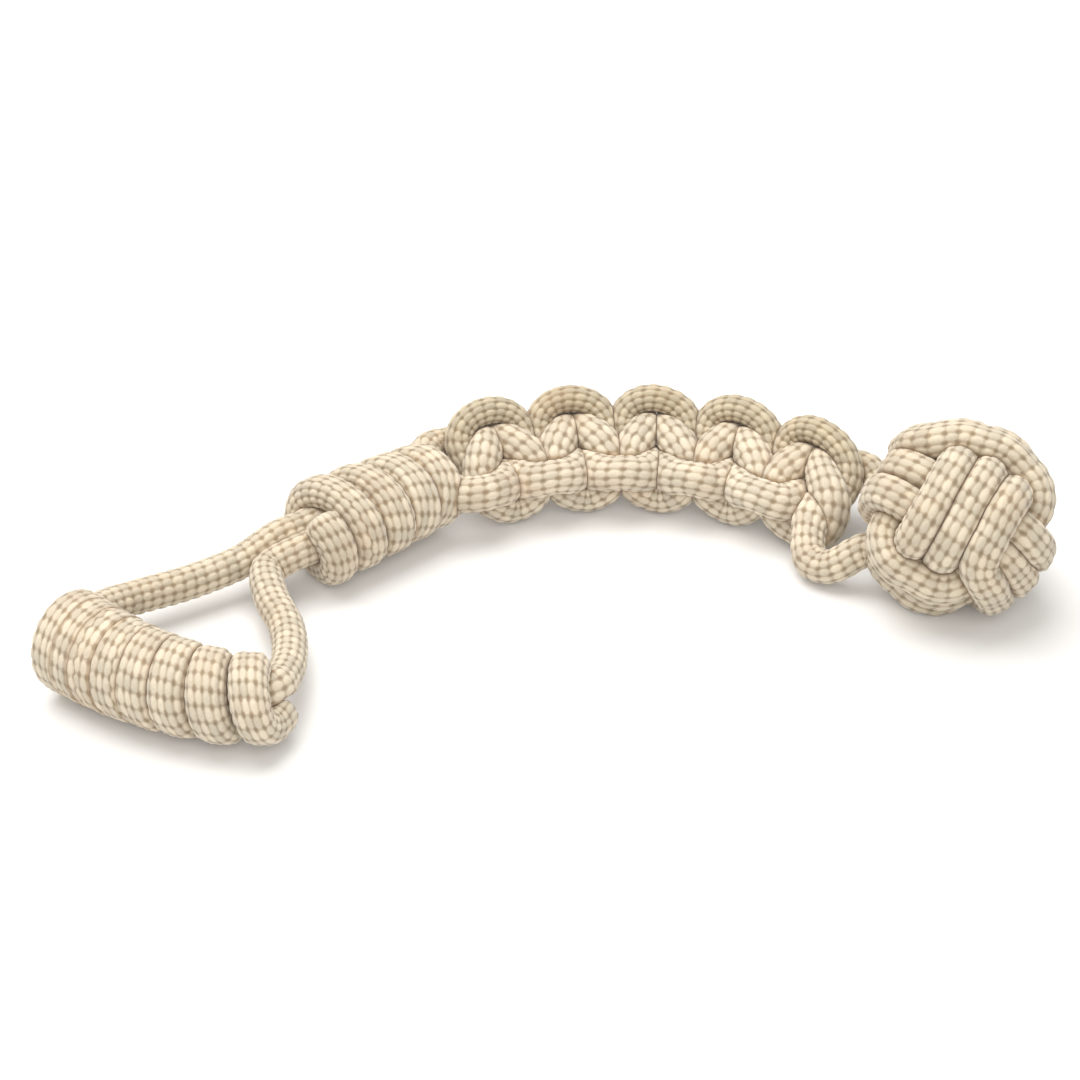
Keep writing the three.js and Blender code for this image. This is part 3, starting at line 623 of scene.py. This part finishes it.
main = Rope(long_rope, LONG_COLUMNS, LEG_RADIUS, LONG_DIMMED, NO_FLAT, BALL[None])
neck_rope = Rope(neck_wrap, WRAP_COLUMNS, NECK_WRAP_RADIUS, NECK_WRAP_DIMMED, WRAP_FLAT,
                 sampled(neck_axis, CORE_SPACING))
grip_rope = Rope(grip_wrap, WRAP_COLUMNS, GRIP_WRAP_RADIUS, GRIP_WRAP_DIMMED, WRAP_FLAT,
                 sampled(sleeve_axis, CORE_SPACING))
ropes = [main, neck_rope, grip_rope]

fist_first = main.index(fist[0])
fist_last = main.index(fist[-1], fist_first + BALL_RINGS)
PART = {NEAR: (0, fist_first), FAR: (fist_last, None)}


def ring_at(point, side):
    """The long rope's ring nearest to a point, before the fist or after it."""
    return main.index(point, *PART[side])


def at_phase(turns, side):
    """The ring at a phase of the knot on the near or the far cord."""
    return ring_at(cord(turns * TAU, side)[0], side)


def evened(values, reach):
    """The running mean of values along a rope."""
    count = 2 * reach + 1
    return np.convolve(np.pad(values, reach, mode="edge"), np.ones(count) / count, "valid")


def dress_band(side):
    """Along one cord of the band, swell the bights a little at the band's near edge, and thin and
    darken those at its far edge, as painted shade. The sine of the knot's phase says how far
    across it lies."""
    turns = np.linspace(FIRST_TURN, KNOTS + FIRST_TURN, BAND_PHASES)
    marks = np.array([ring_at(p, side) for p in cord(turns * TAU, side)])
    order = np.argsort(marks)
    rows = np.arange(marks.min(), marks.max() + 1)
    across = np.sin(np.interp(rows, marks[order], (turns * TAU)[order])) * side
    # Painted shade: bights towards the band's far edge are darkened and yellowed
    main.worn[rows] = BAND_DIMMED + (1 - BAND_DIMMED) * smooth(across, *SHADED_EDGE)
    main.plump[rows] = (LEG_RADIUS + NEAR_EDGE_SWELLS * smooth(-across, *NEAR_EDGE)
                        - FAR_EDGE_SHRINKS * smooth(across, *FAR_EDGE))


neck_first = ring_at(mouth(NEAR, -NECK_LENGTH + SWELLS_BEFORE), NEAR)
neck_last = ring_at(mouth(FAR, -NECK_LENGTH + SWELLS_BEFORE), FAR)
band_first, band_last = at_phase(FIRST_TURN, NEAR), at_phase(FIRST_TURN, FAR)
main.plump[neck_first:band_first] = NECK_RADIUS
main.plump[band_last:neck_last] = NECK_RADIUS
dress_band(NEAR)
dress_band(FAR)
rings = np.arange(len(main.line))
in_fist = (smooth(rings, fist_first, fist_first + FIST_FADE)
           * (1 - smooth(rings, fist_last - FIST_FADE, fist_last)))
in_band = (smooth(rings, band_first - BAND_FADE, band_first)
           * (1 - smooth(rings, band_last, band_last + BAND_FADE)))
main.plump = evened(main.plump + (FIST_RADIUS - main.plump) * in_fist, RADIUS_EVENED)
main.worn = evened(main.worn, DIMMED_EVENED)
main.worn = main.worn + (LONG_DIMMED - main.worn) * in_fist
main.flat[in_fist > 0.5] = FIST_FLAT
main.spread(LEG_CELL + (BAND_CELL - LEG_CELL) * in_band + (FIST_CELL - BAND_CELL) * in_fist)
neck_rope.spread(WRAP_CELL)
grip_rope.spread(WRAP_CELL)


def directions(rope, rows, angle):
    """Unit vectors out of some rings at each angle round them."""
    return (rope.normal[rows, None] * np.cos(angle)[None, :, None]
            + rope.binormal[rows, None] * np.sin(angle)[None, :, None])


def press(rope):
    """Each side of each ring stands out to its radius, or to halfway to a neighbouring rope's
    centre, or to the flat of its outer side, or to the floor, whichever comes first. What is
    pressed away at one side bulges out at the free ones. The change from free to pressed is a
    soft minimum. Also returns how far each side is pressed by its neighbours, from 0 to 1."""
    points = np.vstack([r.line[::NEIGHBOUR_STEP] for r in ropes])
    arcs = np.concatenate([r.arc[::NEIGHBOUR_STEP] for r in ropes])
    owners = np.concatenate([np.full(len(r.line[::NEIGHBOUR_STEP]), k) for k, r in enumerate(ropes)])
    angle = TAU * np.arange(rope.around) / rope.around
    reach = np.zeros((len(rope.line), rope.around))
    pressed = np.zeros_like(reach)
    for start in range(0, len(rope.line), RINGS_AT_ONCE):
        rows = slice(start, start + RINGS_AT_ONCE)
        centre = rope.line[rows]
        d = directions(rope, rows, angle)
        gap = np.linalg.norm(points[None] - centre[:, None], axis=2)
        beside = np.abs(arcs[None] - rope.arc[rows, None]) < OWN_REACH
        gap[(owners == ropes.index(rope))[None] & beside] = FAR_OFF
        nearest = np.argpartition(gap, NEIGHBOURS, axis=1)[:, :NEIGHBOURS]
        to_point = points[nearest] - centre[:, None]
        facing = np.einsum("rkc,rac->rak", to_point, d)
        square = np.sum(to_point**2, 2)[:, None]
        radius = rope.plump[rows, None]
        halfway = square / np.maximum(2 * facing, LEAST_FACING)
        halfway = np.where(facing > LEAST_FACING, halfway, FAR_OFF).min(2) - PRESSED_GAP
        outward = np.einsum("rac,rc->ra", d, rope.out[rows])
        limit = np.minimum(halfway, rope.flat[rows, None] / np.maximum(outward, LEAST_OUTWARD))
        height = centre[:, 2:] - FLOOR
        limit = np.minimum(limit, height / np.maximum(-d[..., 2], LEAST_DOWN))
        limit = np.maximum(limit, radius * LEAST_REACH)
        left = np.mean((np.minimum(radius, limit) / radius) ** 2, axis=1, keepdims=True)
        free = radius * np.clip(left**-0.5, 1, MOST_BULGE)
        kept = np.logaddexp(-SHARPNESS * np.minimum(limit, FARTHEST_LIMIT), -SHARPNESS * free)
        reach[rows] = -kept / SHARPNESS
        pressed[rows] = 1 - smooth(halfway, free - WHOLLY_PRESSED * radius, free + PRESSES_FROM * radius)
    return reach, pressed


for rope in ropes:
    rope.reach, rope.pressed = press(rope)


def braid_height(u, v):
    """Height of the braid from 0 to 1, at u cells along and v columns round: plump ovals in
    rows and columns, with smaller and lower ovals in the corners between them, each half of an
    ellipsoid."""
    x = np.abs((u + SLANT * v) % 1 - 0.5)
    y = np.abs(v % 1 - 0.5)
    cream = 1 - (x / CREAM_OVAL[0]) ** OVAL_POWER - (y / CREAM_OVAL[1]) ** OVAL_POWER
    tan = 1 - ((0.5 - x) / TAN_OVAL[0]) ** OVAL_POWER - ((0.5 - y) / TAN_OVAL[1]) ** OVAL_POWER
    return np.maximum(np.sqrt(np.maximum(cream, 0)), TAN_HEIGHT * np.sqrt(np.maximum(tan, 0)))


def closed_faces(rows, around):
    """Four-sided faces of a grid of rows of points, closed round each row."""
    i, j = np.meshgrid(np.arange(rows - 1), np.arange(around), indexing="ij")
    k = (j + 1) % around
    corners = [i * around + j, i * around + k, (i + 1) * around + k, (i + 1) * around + j]
    return np.stack(corners, -1).reshape(-1, 4)


def smooth_object(name, points, faces):
    """An object with the given points, in the plan's millimetres, and faces, shaded smooth."""
    mesh = bpy.data.meshes.new(name)
    mesh.vertices.add(len(points))
    mesh.vertices.foreach_set("co", ((points + SHIFT) / MM_IN_METRE).ravel().astype(np.float32))
    mesh.loops.add(faces.size)
    mesh.loops.foreach_set("vertex_index", faces.ravel().astype(np.int32))
    mesh.polygons.add(len(faces))
    mesh.polygons.foreach_set("loop_start", np.arange(0, faces.size, 4, dtype=np.int32))
    mesh.update(calc_edges=True)
    mesh.polygons.foreach_set("use_smooth", np.ones(len(faces), bool))
    ob = bpy.data.objects.new(name, mesh)
    bpy.context.scene.collection.objects.link(ob)
    return ob


def set_attribute(mesh, name, values):
    """A number at each point of a mesh, for its material to read."""
    attribute = mesh.attributes.new(name, "FLOAT", "POINT")
    attribute.data.foreach_set("value", values.ravel().astype(np.float32))


def rope_piece(name, rope, first, last, cap=False):
    """Part of a rope: rings of its pressed outline, lowered between the braid's ovals by the
    relief, which is flatter where the rope is pressed. With cap, both ends are rounded off as
    quarter circles. Its map counts the braid's cells along and its columns round."""
    rows = np.arange(first, last + 1)
    around = rope.around
    column = np.arange(around + 1)
    u = rope.cells[rows]
    v = column / PER_COLUMN
    high = braid_height(*np.meshgrid(u, v, indexing="ij"))
    reach = rope.reach[rows][:, column % around]
    pressed = rope.pressed[rows][:, column % around]
    radius = reach - RELIEF * (1 - high) * (1 - FLATTENED * pressed)
    if cap:
        for end in (0, -1):
            to_end = np.abs(rope.arc[rows] - rope.arc[rows[end]])
            round_off = 1 - (1 - np.minimum(to_end / CAP_LENGTH, 1)) ** 2
            radius *= np.sqrt(np.clip(round_off, CAP_TIP, 1))[:, None]
    out = directions(rope, rows, TAU * column / around)
    points = rope.line[rows][:, None] + radius[..., None] * out
    ob = smooth_object(name, points[:, :around].reshape(-1, 3), closed_faces(len(rows), around))
    i, j = np.meshgrid(np.arange(len(rows) - 1), np.arange(around), indexing="ij")
    along = np.stack([u[i], u[i], u[i + 1], u[i + 1]], -1)
    across = np.stack([v[j], v[j + 1], v[j + 1], v[j]], -1)
    braid_map = ob.data.uv_layers.new(name="braid")
    braid_map.data.foreach_set("uv", np.stack([along, across], -1).reshape(-1).astype(np.float32))
    # Painted shade, with a little dirt: the attribute set here browns the rope where its neighbours press it, in the
    # creases between ropes
    set_attribute(ob.data, "crease_shade", pressed[:, :around])
    # How much darker and yellower each ring is made; at the band's far edge this is painted shade
    set_attribute(ob.data, "worn", np.repeat(rope.worn[rows], around))
    ob.data.update()
    ob.data.materials.append(cotton)
    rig.slot(ob, "rope")
    return ob


# Materials
CREAM = (0.64, 0.565, 0.445, 1)
MIDDLE = (0.49, 0.41, 0.30, 1)
TAN = (0.25, 0.185, 0.115, 1)
# Tint that darkens and yellows a rope; at the band's far edge this darkening is painted shade
DIM_TINT = (0.80, 0.78, 0.71, 1)
STAIN = (0.58, 0.43, 0.29, 1)
# Painted shade, with a little dirt, for the creases where ropes press together
CREASE_SHADE = (0.42, 0.28, 0.16, 1)
YARN_DARK, YARN_PALE = (0.24, 0.165, 0.10, 1), (0.46, 0.35, 0.23, 1)
PAPER, PAPER_GLOW = (0.78, 0.775, 0.77, 1), (1, 0.995, 0.99, 1)
ROOM = (1.0, 0.985, 0.965, 1)
WHITE = (1, 1, 1, 1)

# Braided cotton: scale of the noise that wobbles the ovals, and how far it moves them along and
# round; specks of fibre to a cell and to a column; scale of the stains; gain and offset of the
# share that each colour takes; how much fibre and chance change a cell's tone; and the heights
# of ovals and fibre in the bump, with its depth in metres
WOBBLE_SCALE, WOBBLE_ALONG, WOBBLE_ROUND = 300, 0.2, -0.24
FIBRE_ALONG, FIBRE_ROUND = 6, 13
STAIN_SCALE = 42
CREAM_GAIN, CREAM_OFFSET = 1.5, 0.25
TAN_GAIN, TAN_OFFSET = 0.9, 0.1
STAIN_GAIN, STAIN_OFFSET = 1.2, 0.06
# How strongly the painted crease shade comes on
CREASE_SHADE_GAIN = 0.5
FIBRE_TONE, CELL_TONE = 0.34, 0.26
OVAL_BUMP, TAN_SHARE, FIBRE_BUMP, BUMP_DEPTH = 0.5, 0.5, 0.8, 0.0005
YARN_SCALE = 900


def connect(tree, node, inputs):
    """Join each input of a node to a socket, or set it to a value."""
    for key, value in inputs.items():
        if isinstance(value, bpy.types.NodeSocket):
            tree.links.new(value, node.inputs[key])
        else:
            node.inputs[key].default_value = value


def new_material(name):
    """A material with nodes, and its tree."""
    material = bpy.data.materials.new(name)
    material.use_nodes = True
    return material, material.node_tree


class Tree:
    """Adds nodes to a tree. The call node gives the node made, and the others its result."""

    def __init__(self, tree):
        self.tree = tree

    def node(self, kind, inputs, **settings):
        """A node of a kind, with its settings made before its inputs are connected."""
        node = self.tree.nodes.new(kind)
        for setting, value in settings.items():
            setattr(node, setting, value)
        connect(self.tree, node, inputs)
        return node

    def calc(self, operation, *values, clamp=False):
        """The result of an operation on its values."""
        inputs = dict(enumerate(values))
        return self.node("ShaderNodeMath", inputs, operation=operation, use_clamp=clamp).outputs[0]

    def mix(self, share, a, b, blend="MIX"):
        """A colour that share of the way from a to b, or to a multiplied by b."""
        node = self.node("ShaderNodeMix", {}, data_type="RGBA", blend_type=blend)
        connect(self.tree, node, {0: share, 6: a, 7: b})
        return node.outputs[2]

    def noise(self, place, scale, detail):
        """Noise from about -0.5 to 0.5 at a place."""
        node = self.node("ShaderNodeTexNoise", {"Scale": scale, "Detail": detail, "Vector": place})
        return self.calc("SUBTRACT", node.outputs[0], 0.5)

    def pair(self, a, b):
        """Two numbers as a place."""
        return self.node("ShaderNodeCombineXYZ", {0: a, 1: b}).outputs[0]

    def attribute(self, name):
        """A number that the mesh carries."""
        return self.node("ShaderNodeAttribute", {}, attribute_name=name).outputs["Fac"]


def braided_cotton():
    """Cotton rope: cream ovals in rows and columns with tan ones in the corners between them,
    on a middle brown, with soft stains, painted brown shade with a little dirt in the creases
    where ropes press together, darker and yellower tones that at the band's far edge are
    painted shade, and fine fibres, all worked out from the rope's own map, which noise wobbles.
    Each oval is 1 less the powers of its two distances from its middle over its half sizes. A
    share that rises by a gain from an offset says how much of the next colour covers the last."""
    material, tree = new_material("braided_cotton")
    tree.nodes.clear()
    t = Tree(tree)
    calc = t.calc
    braid_map = t.node("ShaderNodeUVMap", {}, uv_map="braid")
    split = t.node("ShaderNodeSeparateXYZ", {0: braid_map.outputs[0]})
    u, v = split.outputs[0], split.outputs[1]
    place = t.node("ShaderNodeTexCoord", {}).outputs["Object"]

    wobble = t.noise(place, scale=WOBBLE_SCALE, detail=1)
    along = calc("ADD", calc("MULTIPLY_ADD", v, SLANT, u), calc("MULTIPLY", wobble, WOBBLE_ALONG))
    across = calc("MULTIPLY_ADD", wobble, WOBBLE_ROUND, v)
    x = calc("ABSOLUTE", calc("SUBTRACT", calc("FRACT", along), 0.5))
    y = calc("ABSOLUTE", calc("SUBTRACT", calc("FRACT", across), 0.5))

    def oval(x_away, y_away, sizes):
        powers = [calc("POWER", calc("DIVIDE", away, size), OVAL_POWER)
                  for away, size in zip((x_away, y_away), sizes)]
        return calc("SUBTRACT", 1, calc("ADD", *powers))

    cream = oval(x, y, CREAM_OVAL)
    tan = oval(calc("SUBTRACT", 0.5, x), calc("SUBTRACT", 0.5, y), TAN_OVAL)
    cell_place = t.pair(calc("FLOOR", along), calc("FLOOR", across))
    cell = t.node("ShaderNodeTexWhiteNoise", {"Vector": cell_place}, noise_dimensions="2D")
    fibre_place = t.pair(calc("MULTIPLY", u, FIBRE_ALONG), calc("MULTIPLY", v, FIBRE_ROUND))
    fibre = t.noise(fibre_place, scale=1, detail=3)
    stain = t.noise(place, scale=STAIN_SCALE, detail=2)

    cream_share = calc("MULTIPLY_ADD", cream, CREAM_GAIN, CREAM_OFFSET, clamp=True)
    tan_offset = calc("MULTIPLY_ADD", stain, 1.0, TAN_OFFSET)
    tan_share = calc("MULTIPLY_ADD", tan, TAN_GAIN, tan_offset, clamp=True)
    stain_share = calc("MULTIPLY", calc("ADD", stain, STAIN_OFFSET), STAIN_GAIN, clamp=True)
    crease_shade_share = calc("MULTIPLY", t.attribute("crease_shade"), CREASE_SHADE_GAIN)
    colour = t.mix(cream_share, MIDDLE, CREAM)
    colour = t.mix(tan_share, colour, TAN)
    colour = t.mix(stain_share, colour, STAIN)
    # Painted shade, with a little dirt, in the creases where ropes press together
    colour = t.mix(crease_shade_share, colour, CREASE_SHADE)
    # Darkens and yellows the colour; at the band's far edge this is painted shade
    colour = t.mix(t.attribute("worn"), colour, DIM_TINT, "MULTIPLY")
    tone = calc("ADD", calc("MULTIPLY_ADD", fibre, FIBRE_TONE, 1),
                calc("MULTIPLY_ADD", cell.outputs["Value"], CELL_TONE, -CELL_TONE / 2))
    toned = t.node("ShaderNodeHueSaturation", {"Value": tone, "Color": colour})

    ovals = calc("MAXIMUM", cream, calc("MULTIPLY", tan, TAN_SHARE))
    height = calc("ADD", calc("MULTIPLY", ovals, OVAL_BUMP), calc("MULTIPLY", fibre, FIBRE_BUMP))
    bump = t.node("ShaderNodeBump", {"Strength": 0.5, "Distance": BUMP_DEPTH, "Height": height})
    surface = t.node("ShaderNodeBsdfPrincipled", {
        "Base Color": toned.outputs[0],
        "Normal": bump.outputs[0],
        "Roughness": 0.92,
        "Specular IOR Level": 0.12,
        "Sheen Weight": 0.25,
        "Sheen Roughness": 0.6,
    })
    t.node("ShaderNodeOutputMaterial", {"Surface": surface.outputs[0]})
    return material


def core_yarn():
    """Dark cotton yarn: two browns mixed by noise."""
    material, tree = new_material("core_yarn")
    t = Tree(tree)
    place = t.node("ShaderNodeTexCoord", {}).outputs["Object"]
    noise = t.node("ShaderNodeTexNoise", {"Scale": YARN_SCALE, "Vector": place})
    ramp = t.node("ShaderNodeValToRGB", {0: noise.outputs[0]})
    ramp.color_ramp.elements[0].color = YARN_DARK
    ramp.color_ramp.elements[1].color = YARN_PALE
    connect(tree, tree.nodes["Principled BSDF"], {"Base Color": ramp.outputs[0], "Roughness": 0.95})
    return material


cotton = braided_cotton()


def crossing(ob, joint, direction, before, after):
    """The piece follows the joint's parent before it, its child after it, and bends between."""
    place, parent, child = axis_of[joint]
    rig.blend(ob, parent, child, place - direction * before, place + direction * after)


def forward_at(turns):
    """The band's direction at a phase of the knot."""
    return spine(DIAMETER * (FIRST_BAR + PERIOD * (turns - FIRST_TURN)))[1][0]


# How far before and after its joint a piece bends, in metres
LEG_BENDS, KNOT_BENDS, TAIL_BENDS = (0.0055, 0.011), (0.006, 0.006), (0.005, 0.008)

# Legs, and the part of the loop inside the grip. A leg's path takes every fourth ring.
PATH_RINGS = 4
near_in, far_in = ring_at(mouth(NEAR, -LEG_INSIDE), NEAR), ring_at(mouth(FAR, -LEG_INSIDE), FAR)
near_grip = main.index(grip_axis[-1], 0, near_in)
far_grip = main.index(grip_axis[0], far_in)
for side, first, last in ((NEAR, near_grip, near_in), (FAR, far_in, far_grip)):
    name = f"leg_{WORDS[side]}"
    leg = rope_piece(name + "_cord", main, first, last)
    crossing(leg, "handle_fold", -back_forward, *LEG_BENDS)
    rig.replaces(leg, name)
    path = (main.line[first:last + 1] + SHIFT) / MM_IN_METRE
    path = path[::-1] if side == NEAR else path
    path = path[::PATH_RINGS]
    length = float(length_along(path)[-1])
    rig.cord(leg, exit=path[0], length=length, diameter=DIAMETER / MM_IN_METRE, far_end="object",
            stiffness="medium", lay="loose", path=path)
near_core = rope_piece("grip_core_near", main, 0, near_grip)
far_core = rope_piece("grip_core_far", main, far_grip, len(main.line) - 1)
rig.ride(near_core, "handle")
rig.ride(far_core, "handle")
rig.replaces(near_core, "grip_core")

# Neck strands and band, one piece of each cord across each joint. The first joint is at the
# first bar, and each other one a quarter of a turn before a whole number of turns.
HALF, QUARTER = 0.5, 0.25
near_turns = [*(k + HALF for k in range(KNOTS)), KNOTS]
far_turns = [HALF, *(k + QUARTER for k in range(1, KNOTS)), KNOTS]
marks = {NEAR: [near_in, *(at_phase(turns, NEAR) for turns in near_turns)],
         FAR: [far_in, *(at_phase(turns, FAR) for turns in far_turns)]}
joints = ["neck_lift"] + [f"bend_{n}" for n in range(1, KNOTS + 1)]
for k, joint in enumerate(joints):
    joint_turns = FIRST_TURN if k == 0 else k - QUARTER
    for side, word in WORDS.items():
        first, last = sorted(marks[side][k:k + 2])
        strand = rope_piece(f"sinnet_{word}_{k}", main, first, last)
        crossing(strand, joint, forward_at(joint_turns), *KNOT_BENDS)
        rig.replaces(strand, f"neck_strand_{word}" if k == 0 else f"knot_{k}_{word}_cord")

# Ball: the two tails up to their first dive, the fist knot in two lengths, and its core
dive_rings = int(DIVE_TURN * DIVE_RADIUS * TAU * DIAMETER / STEP)
near_dive, far_dive = fist_first + dive_rings, fist_last - dive_rings
for word, first, last in (("near", marks[NEAR][-1], near_dive), ("far", far_dive, marks[FAR][-1])):
    tail = rope_piece(f"tail_{word}", main, first, last)
    crossing(tail, "ball_lift", forward_at(KNOTS + FIRST_TURN), *TAIL_BENDS)
    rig.replaces(tail, f"knot_6_{word}_cord")
half_fist = (near_dive + far_dive) // 2
first_half = rope_piece("fist_rope_first", main, near_dive, half_fist)
second_half = rope_piece("fist_rope_second", main, half_fist, far_dive)
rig.ride(first_half, "ball")
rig.ride(second_half, "ball")
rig.replaces(first_half, "fist_rope")

# The core's grid, how far it fills past the solid core, as a share, and the yarn's depth as a
# share of its radius
CORE_ROWS, CORE_AROUND = 49, 96
CORE_FILLS = 0.1
CORE_RADIUS = (FIST_CORE + CORE_FILLS) * DIAMETER
YARN_DEPTH = 0.02


def stuffing():
    """The hidden core: a sphere wound with yarn. From pole to pole by angle a and round by
    angle b its radius is r (1 + d sin a (cos(14 a + 3 b) + cos(9 a - 5 b))), with the yarn's
    depth d."""
    a = np.linspace(0, math.pi, CORE_ROWS)[:, None]
    b = np.linspace(0, TAU, CORE_AROUND + 1)[None, :-1]
    waves = np.cos(14 * a + 3 * b) + np.cos(9 * a - 5 * b)
    r = CORE_RADIUS * (1 + YARN_DEPTH * np.sin(a) * waves)
    points = np.stack([r * np.sin(a) * np.cos(b), r * np.sin(a) * np.sin(b), r * np.cos(a) + 0 * b], -1)
    outward_faces = closed_faces(CORE_ROWS, CORE_AROUND)[:, [0, 3, 2, 1]]
    return smooth_object("stuffed_core", (points + BALL).reshape(-1, 3), outward_faces)


core = stuffing()
core.data.materials.append(core_yarn())
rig.ride(core, "ball")
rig.replaces(core, "ball_core")
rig.slot(core, "ball_core")

# Windings
for name, rope, body, node in (("neck_winding", neck_rope, "neck", "neck_wrap"),
                               ("grip_winding", grip_rope, "handle", "grip_wrap")):
    wrap = rope_piece(name, rope, 0, len(rope.line) - 1, cap=True)
    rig.ride(wrap, body)
    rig.replaces(wrap, node)

# Floor, light and camera, in metres: half the floor, the distances from the toy over which its
# glow rises and the glow at both, the light from all round, and the camera's distance. The
# focal length is in pixels of the photograph, and the sensor is in millimetres.
FLOOR_HALF = 6
GLOW_FROM, GLOW_TO, GLOW_NEAR, GLOW_FAR = 0.45, 1.6, 0.06, 0.7
AMBIENT = 0.5
CAMERA_AWAY = 1.1
PHOTO_WIDTH, FOCAL_LENGTH = 1080, 3198
SENSOR = 36


def paper_floor():
    """A pale matt floor, which glows towards its far parts so that it fades into white."""
    mesh = bpy.data.meshes.new("floor")
    h = FLOOR_HALF
    mesh.from_pydata([(-h, -h, 0), (h, -h, 0), (h, h, 0), (-h, h, 0)], [], [(0, 1, 2, 3)])
    floor = bpy.data.objects.new("floor", mesh)
    bpy.context.scene.collection.objects.link(floor)
    material, tree = new_material("paper")
    t = Tree(tree)
    place = t.node("ShaderNodeTexCoord", {}).outputs["Object"]
    away = t.node("ShaderNodeVectorMath", {0: place}, operation="LENGTH")
    glow = t.node("ShaderNodeMapRange", {
        0: away.outputs["Value"], 1: GLOW_FROM, 2: GLOW_TO, 3: GLOW_NEAR, 4: GLOW_FAR,
    })
    connect(tree, tree.nodes["Principled BSDF"], {
        "Base Color": PAPER,
        "Roughness": 0.9,
        "Specular IOR Level": 0.1,
        "Emission Color": PAPER_GLOW,
        "Emission Strength": glow.outputs[0],
    })
    mesh.materials.append(material)
    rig.stage(floor)


def studio_world():
    """Soft light from all round, which the camera and clear or glossy things see as white."""
    world = bpy.data.worlds.new("studio")
    bpy.context.scene.world = world
    world.use_nodes = True
    world.node_tree.nodes.clear()
    t = Tree(world.node_tree)
    ray = t.node("ShaderNodeLightPath", {}).outputs
    seen = t.calc("MAXIMUM", ray["Is Camera Ray"], ray["Is Glossy Ray"])
    seen = t.calc("MAXIMUM", seen, ray["Is Transmission Ray"])
    ambient = t.node("ShaderNodeBackground", {0: ROOM, 1: AMBIENT})
    white = t.node("ShaderNodeBackground", {0: WHITE, 1: 1.0})
    mixed = t.node("ShaderNodeMixShader", {0: seen, 1: ambient.outputs[0], 2: white.outputs[0]})
    t.node("ShaderNodeOutputWorld", {0: mixed.outputs[0]})


def place_facing(ob, place, forward):
    """Put an object in the scene at a place, looking along a direction."""
    bpy.context.scene.collection.objects.link(ob)
    ob.location = place
    ob.rotation_mode = "QUATERNION"
    ob.rotation_quaternion = forward.to_track_quat("-Z", "Y")


def area_light(name, place, size, power, colour):
    """A soft square light at a place, facing the middle of the toy."""
    light = bpy.data.lights.new(name, "AREA")
    light.shape, light.size, light.energy, light.color = "SQUARE", size, power, colour
    ob = bpy.data.objects.new(name, light)
    place_facing(ob, place, -Vector(place))
    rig.stage(ob)


def camera():
    """The photograph's view, down from the front at the plan's own middle."""
    lens = bpy.data.cameras.new("camera")
    lens.sensor_width = SENSOR
    lens.lens = SENSOR * FOCAL_LENGTH / PHOTO_WIDTH
    ob = bpy.data.objects.new("camera", lens)
    away = Vector((0, -math.cos(VIEW_DOWN), math.sin(VIEW_DOWN)))
    place_facing(ob, Vector(SHIFT / MM_IN_METRE) + away * CAMERA_AWAY, -away)
    bpy.context.scene.camera = ob


paper_floor()
studio_world()
area_light("overhead", place=(-0.35, 0.3, 1.5), size=1.6, power=32, colour=(1, 0.99, 0.97))
area_light("fill", place=(0.1, -1.4, 1.1), size=1.2, power=14, colour=(1, 0.99, 0.98))
camera()
bpy.context.scene.view_settings.view_transform = "Standard"

visual_box = [list(v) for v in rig.bounds()]
with open("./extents.json", "w") as f:
    json.dump({"cad": cad_box, "visual": visual_box}, f)
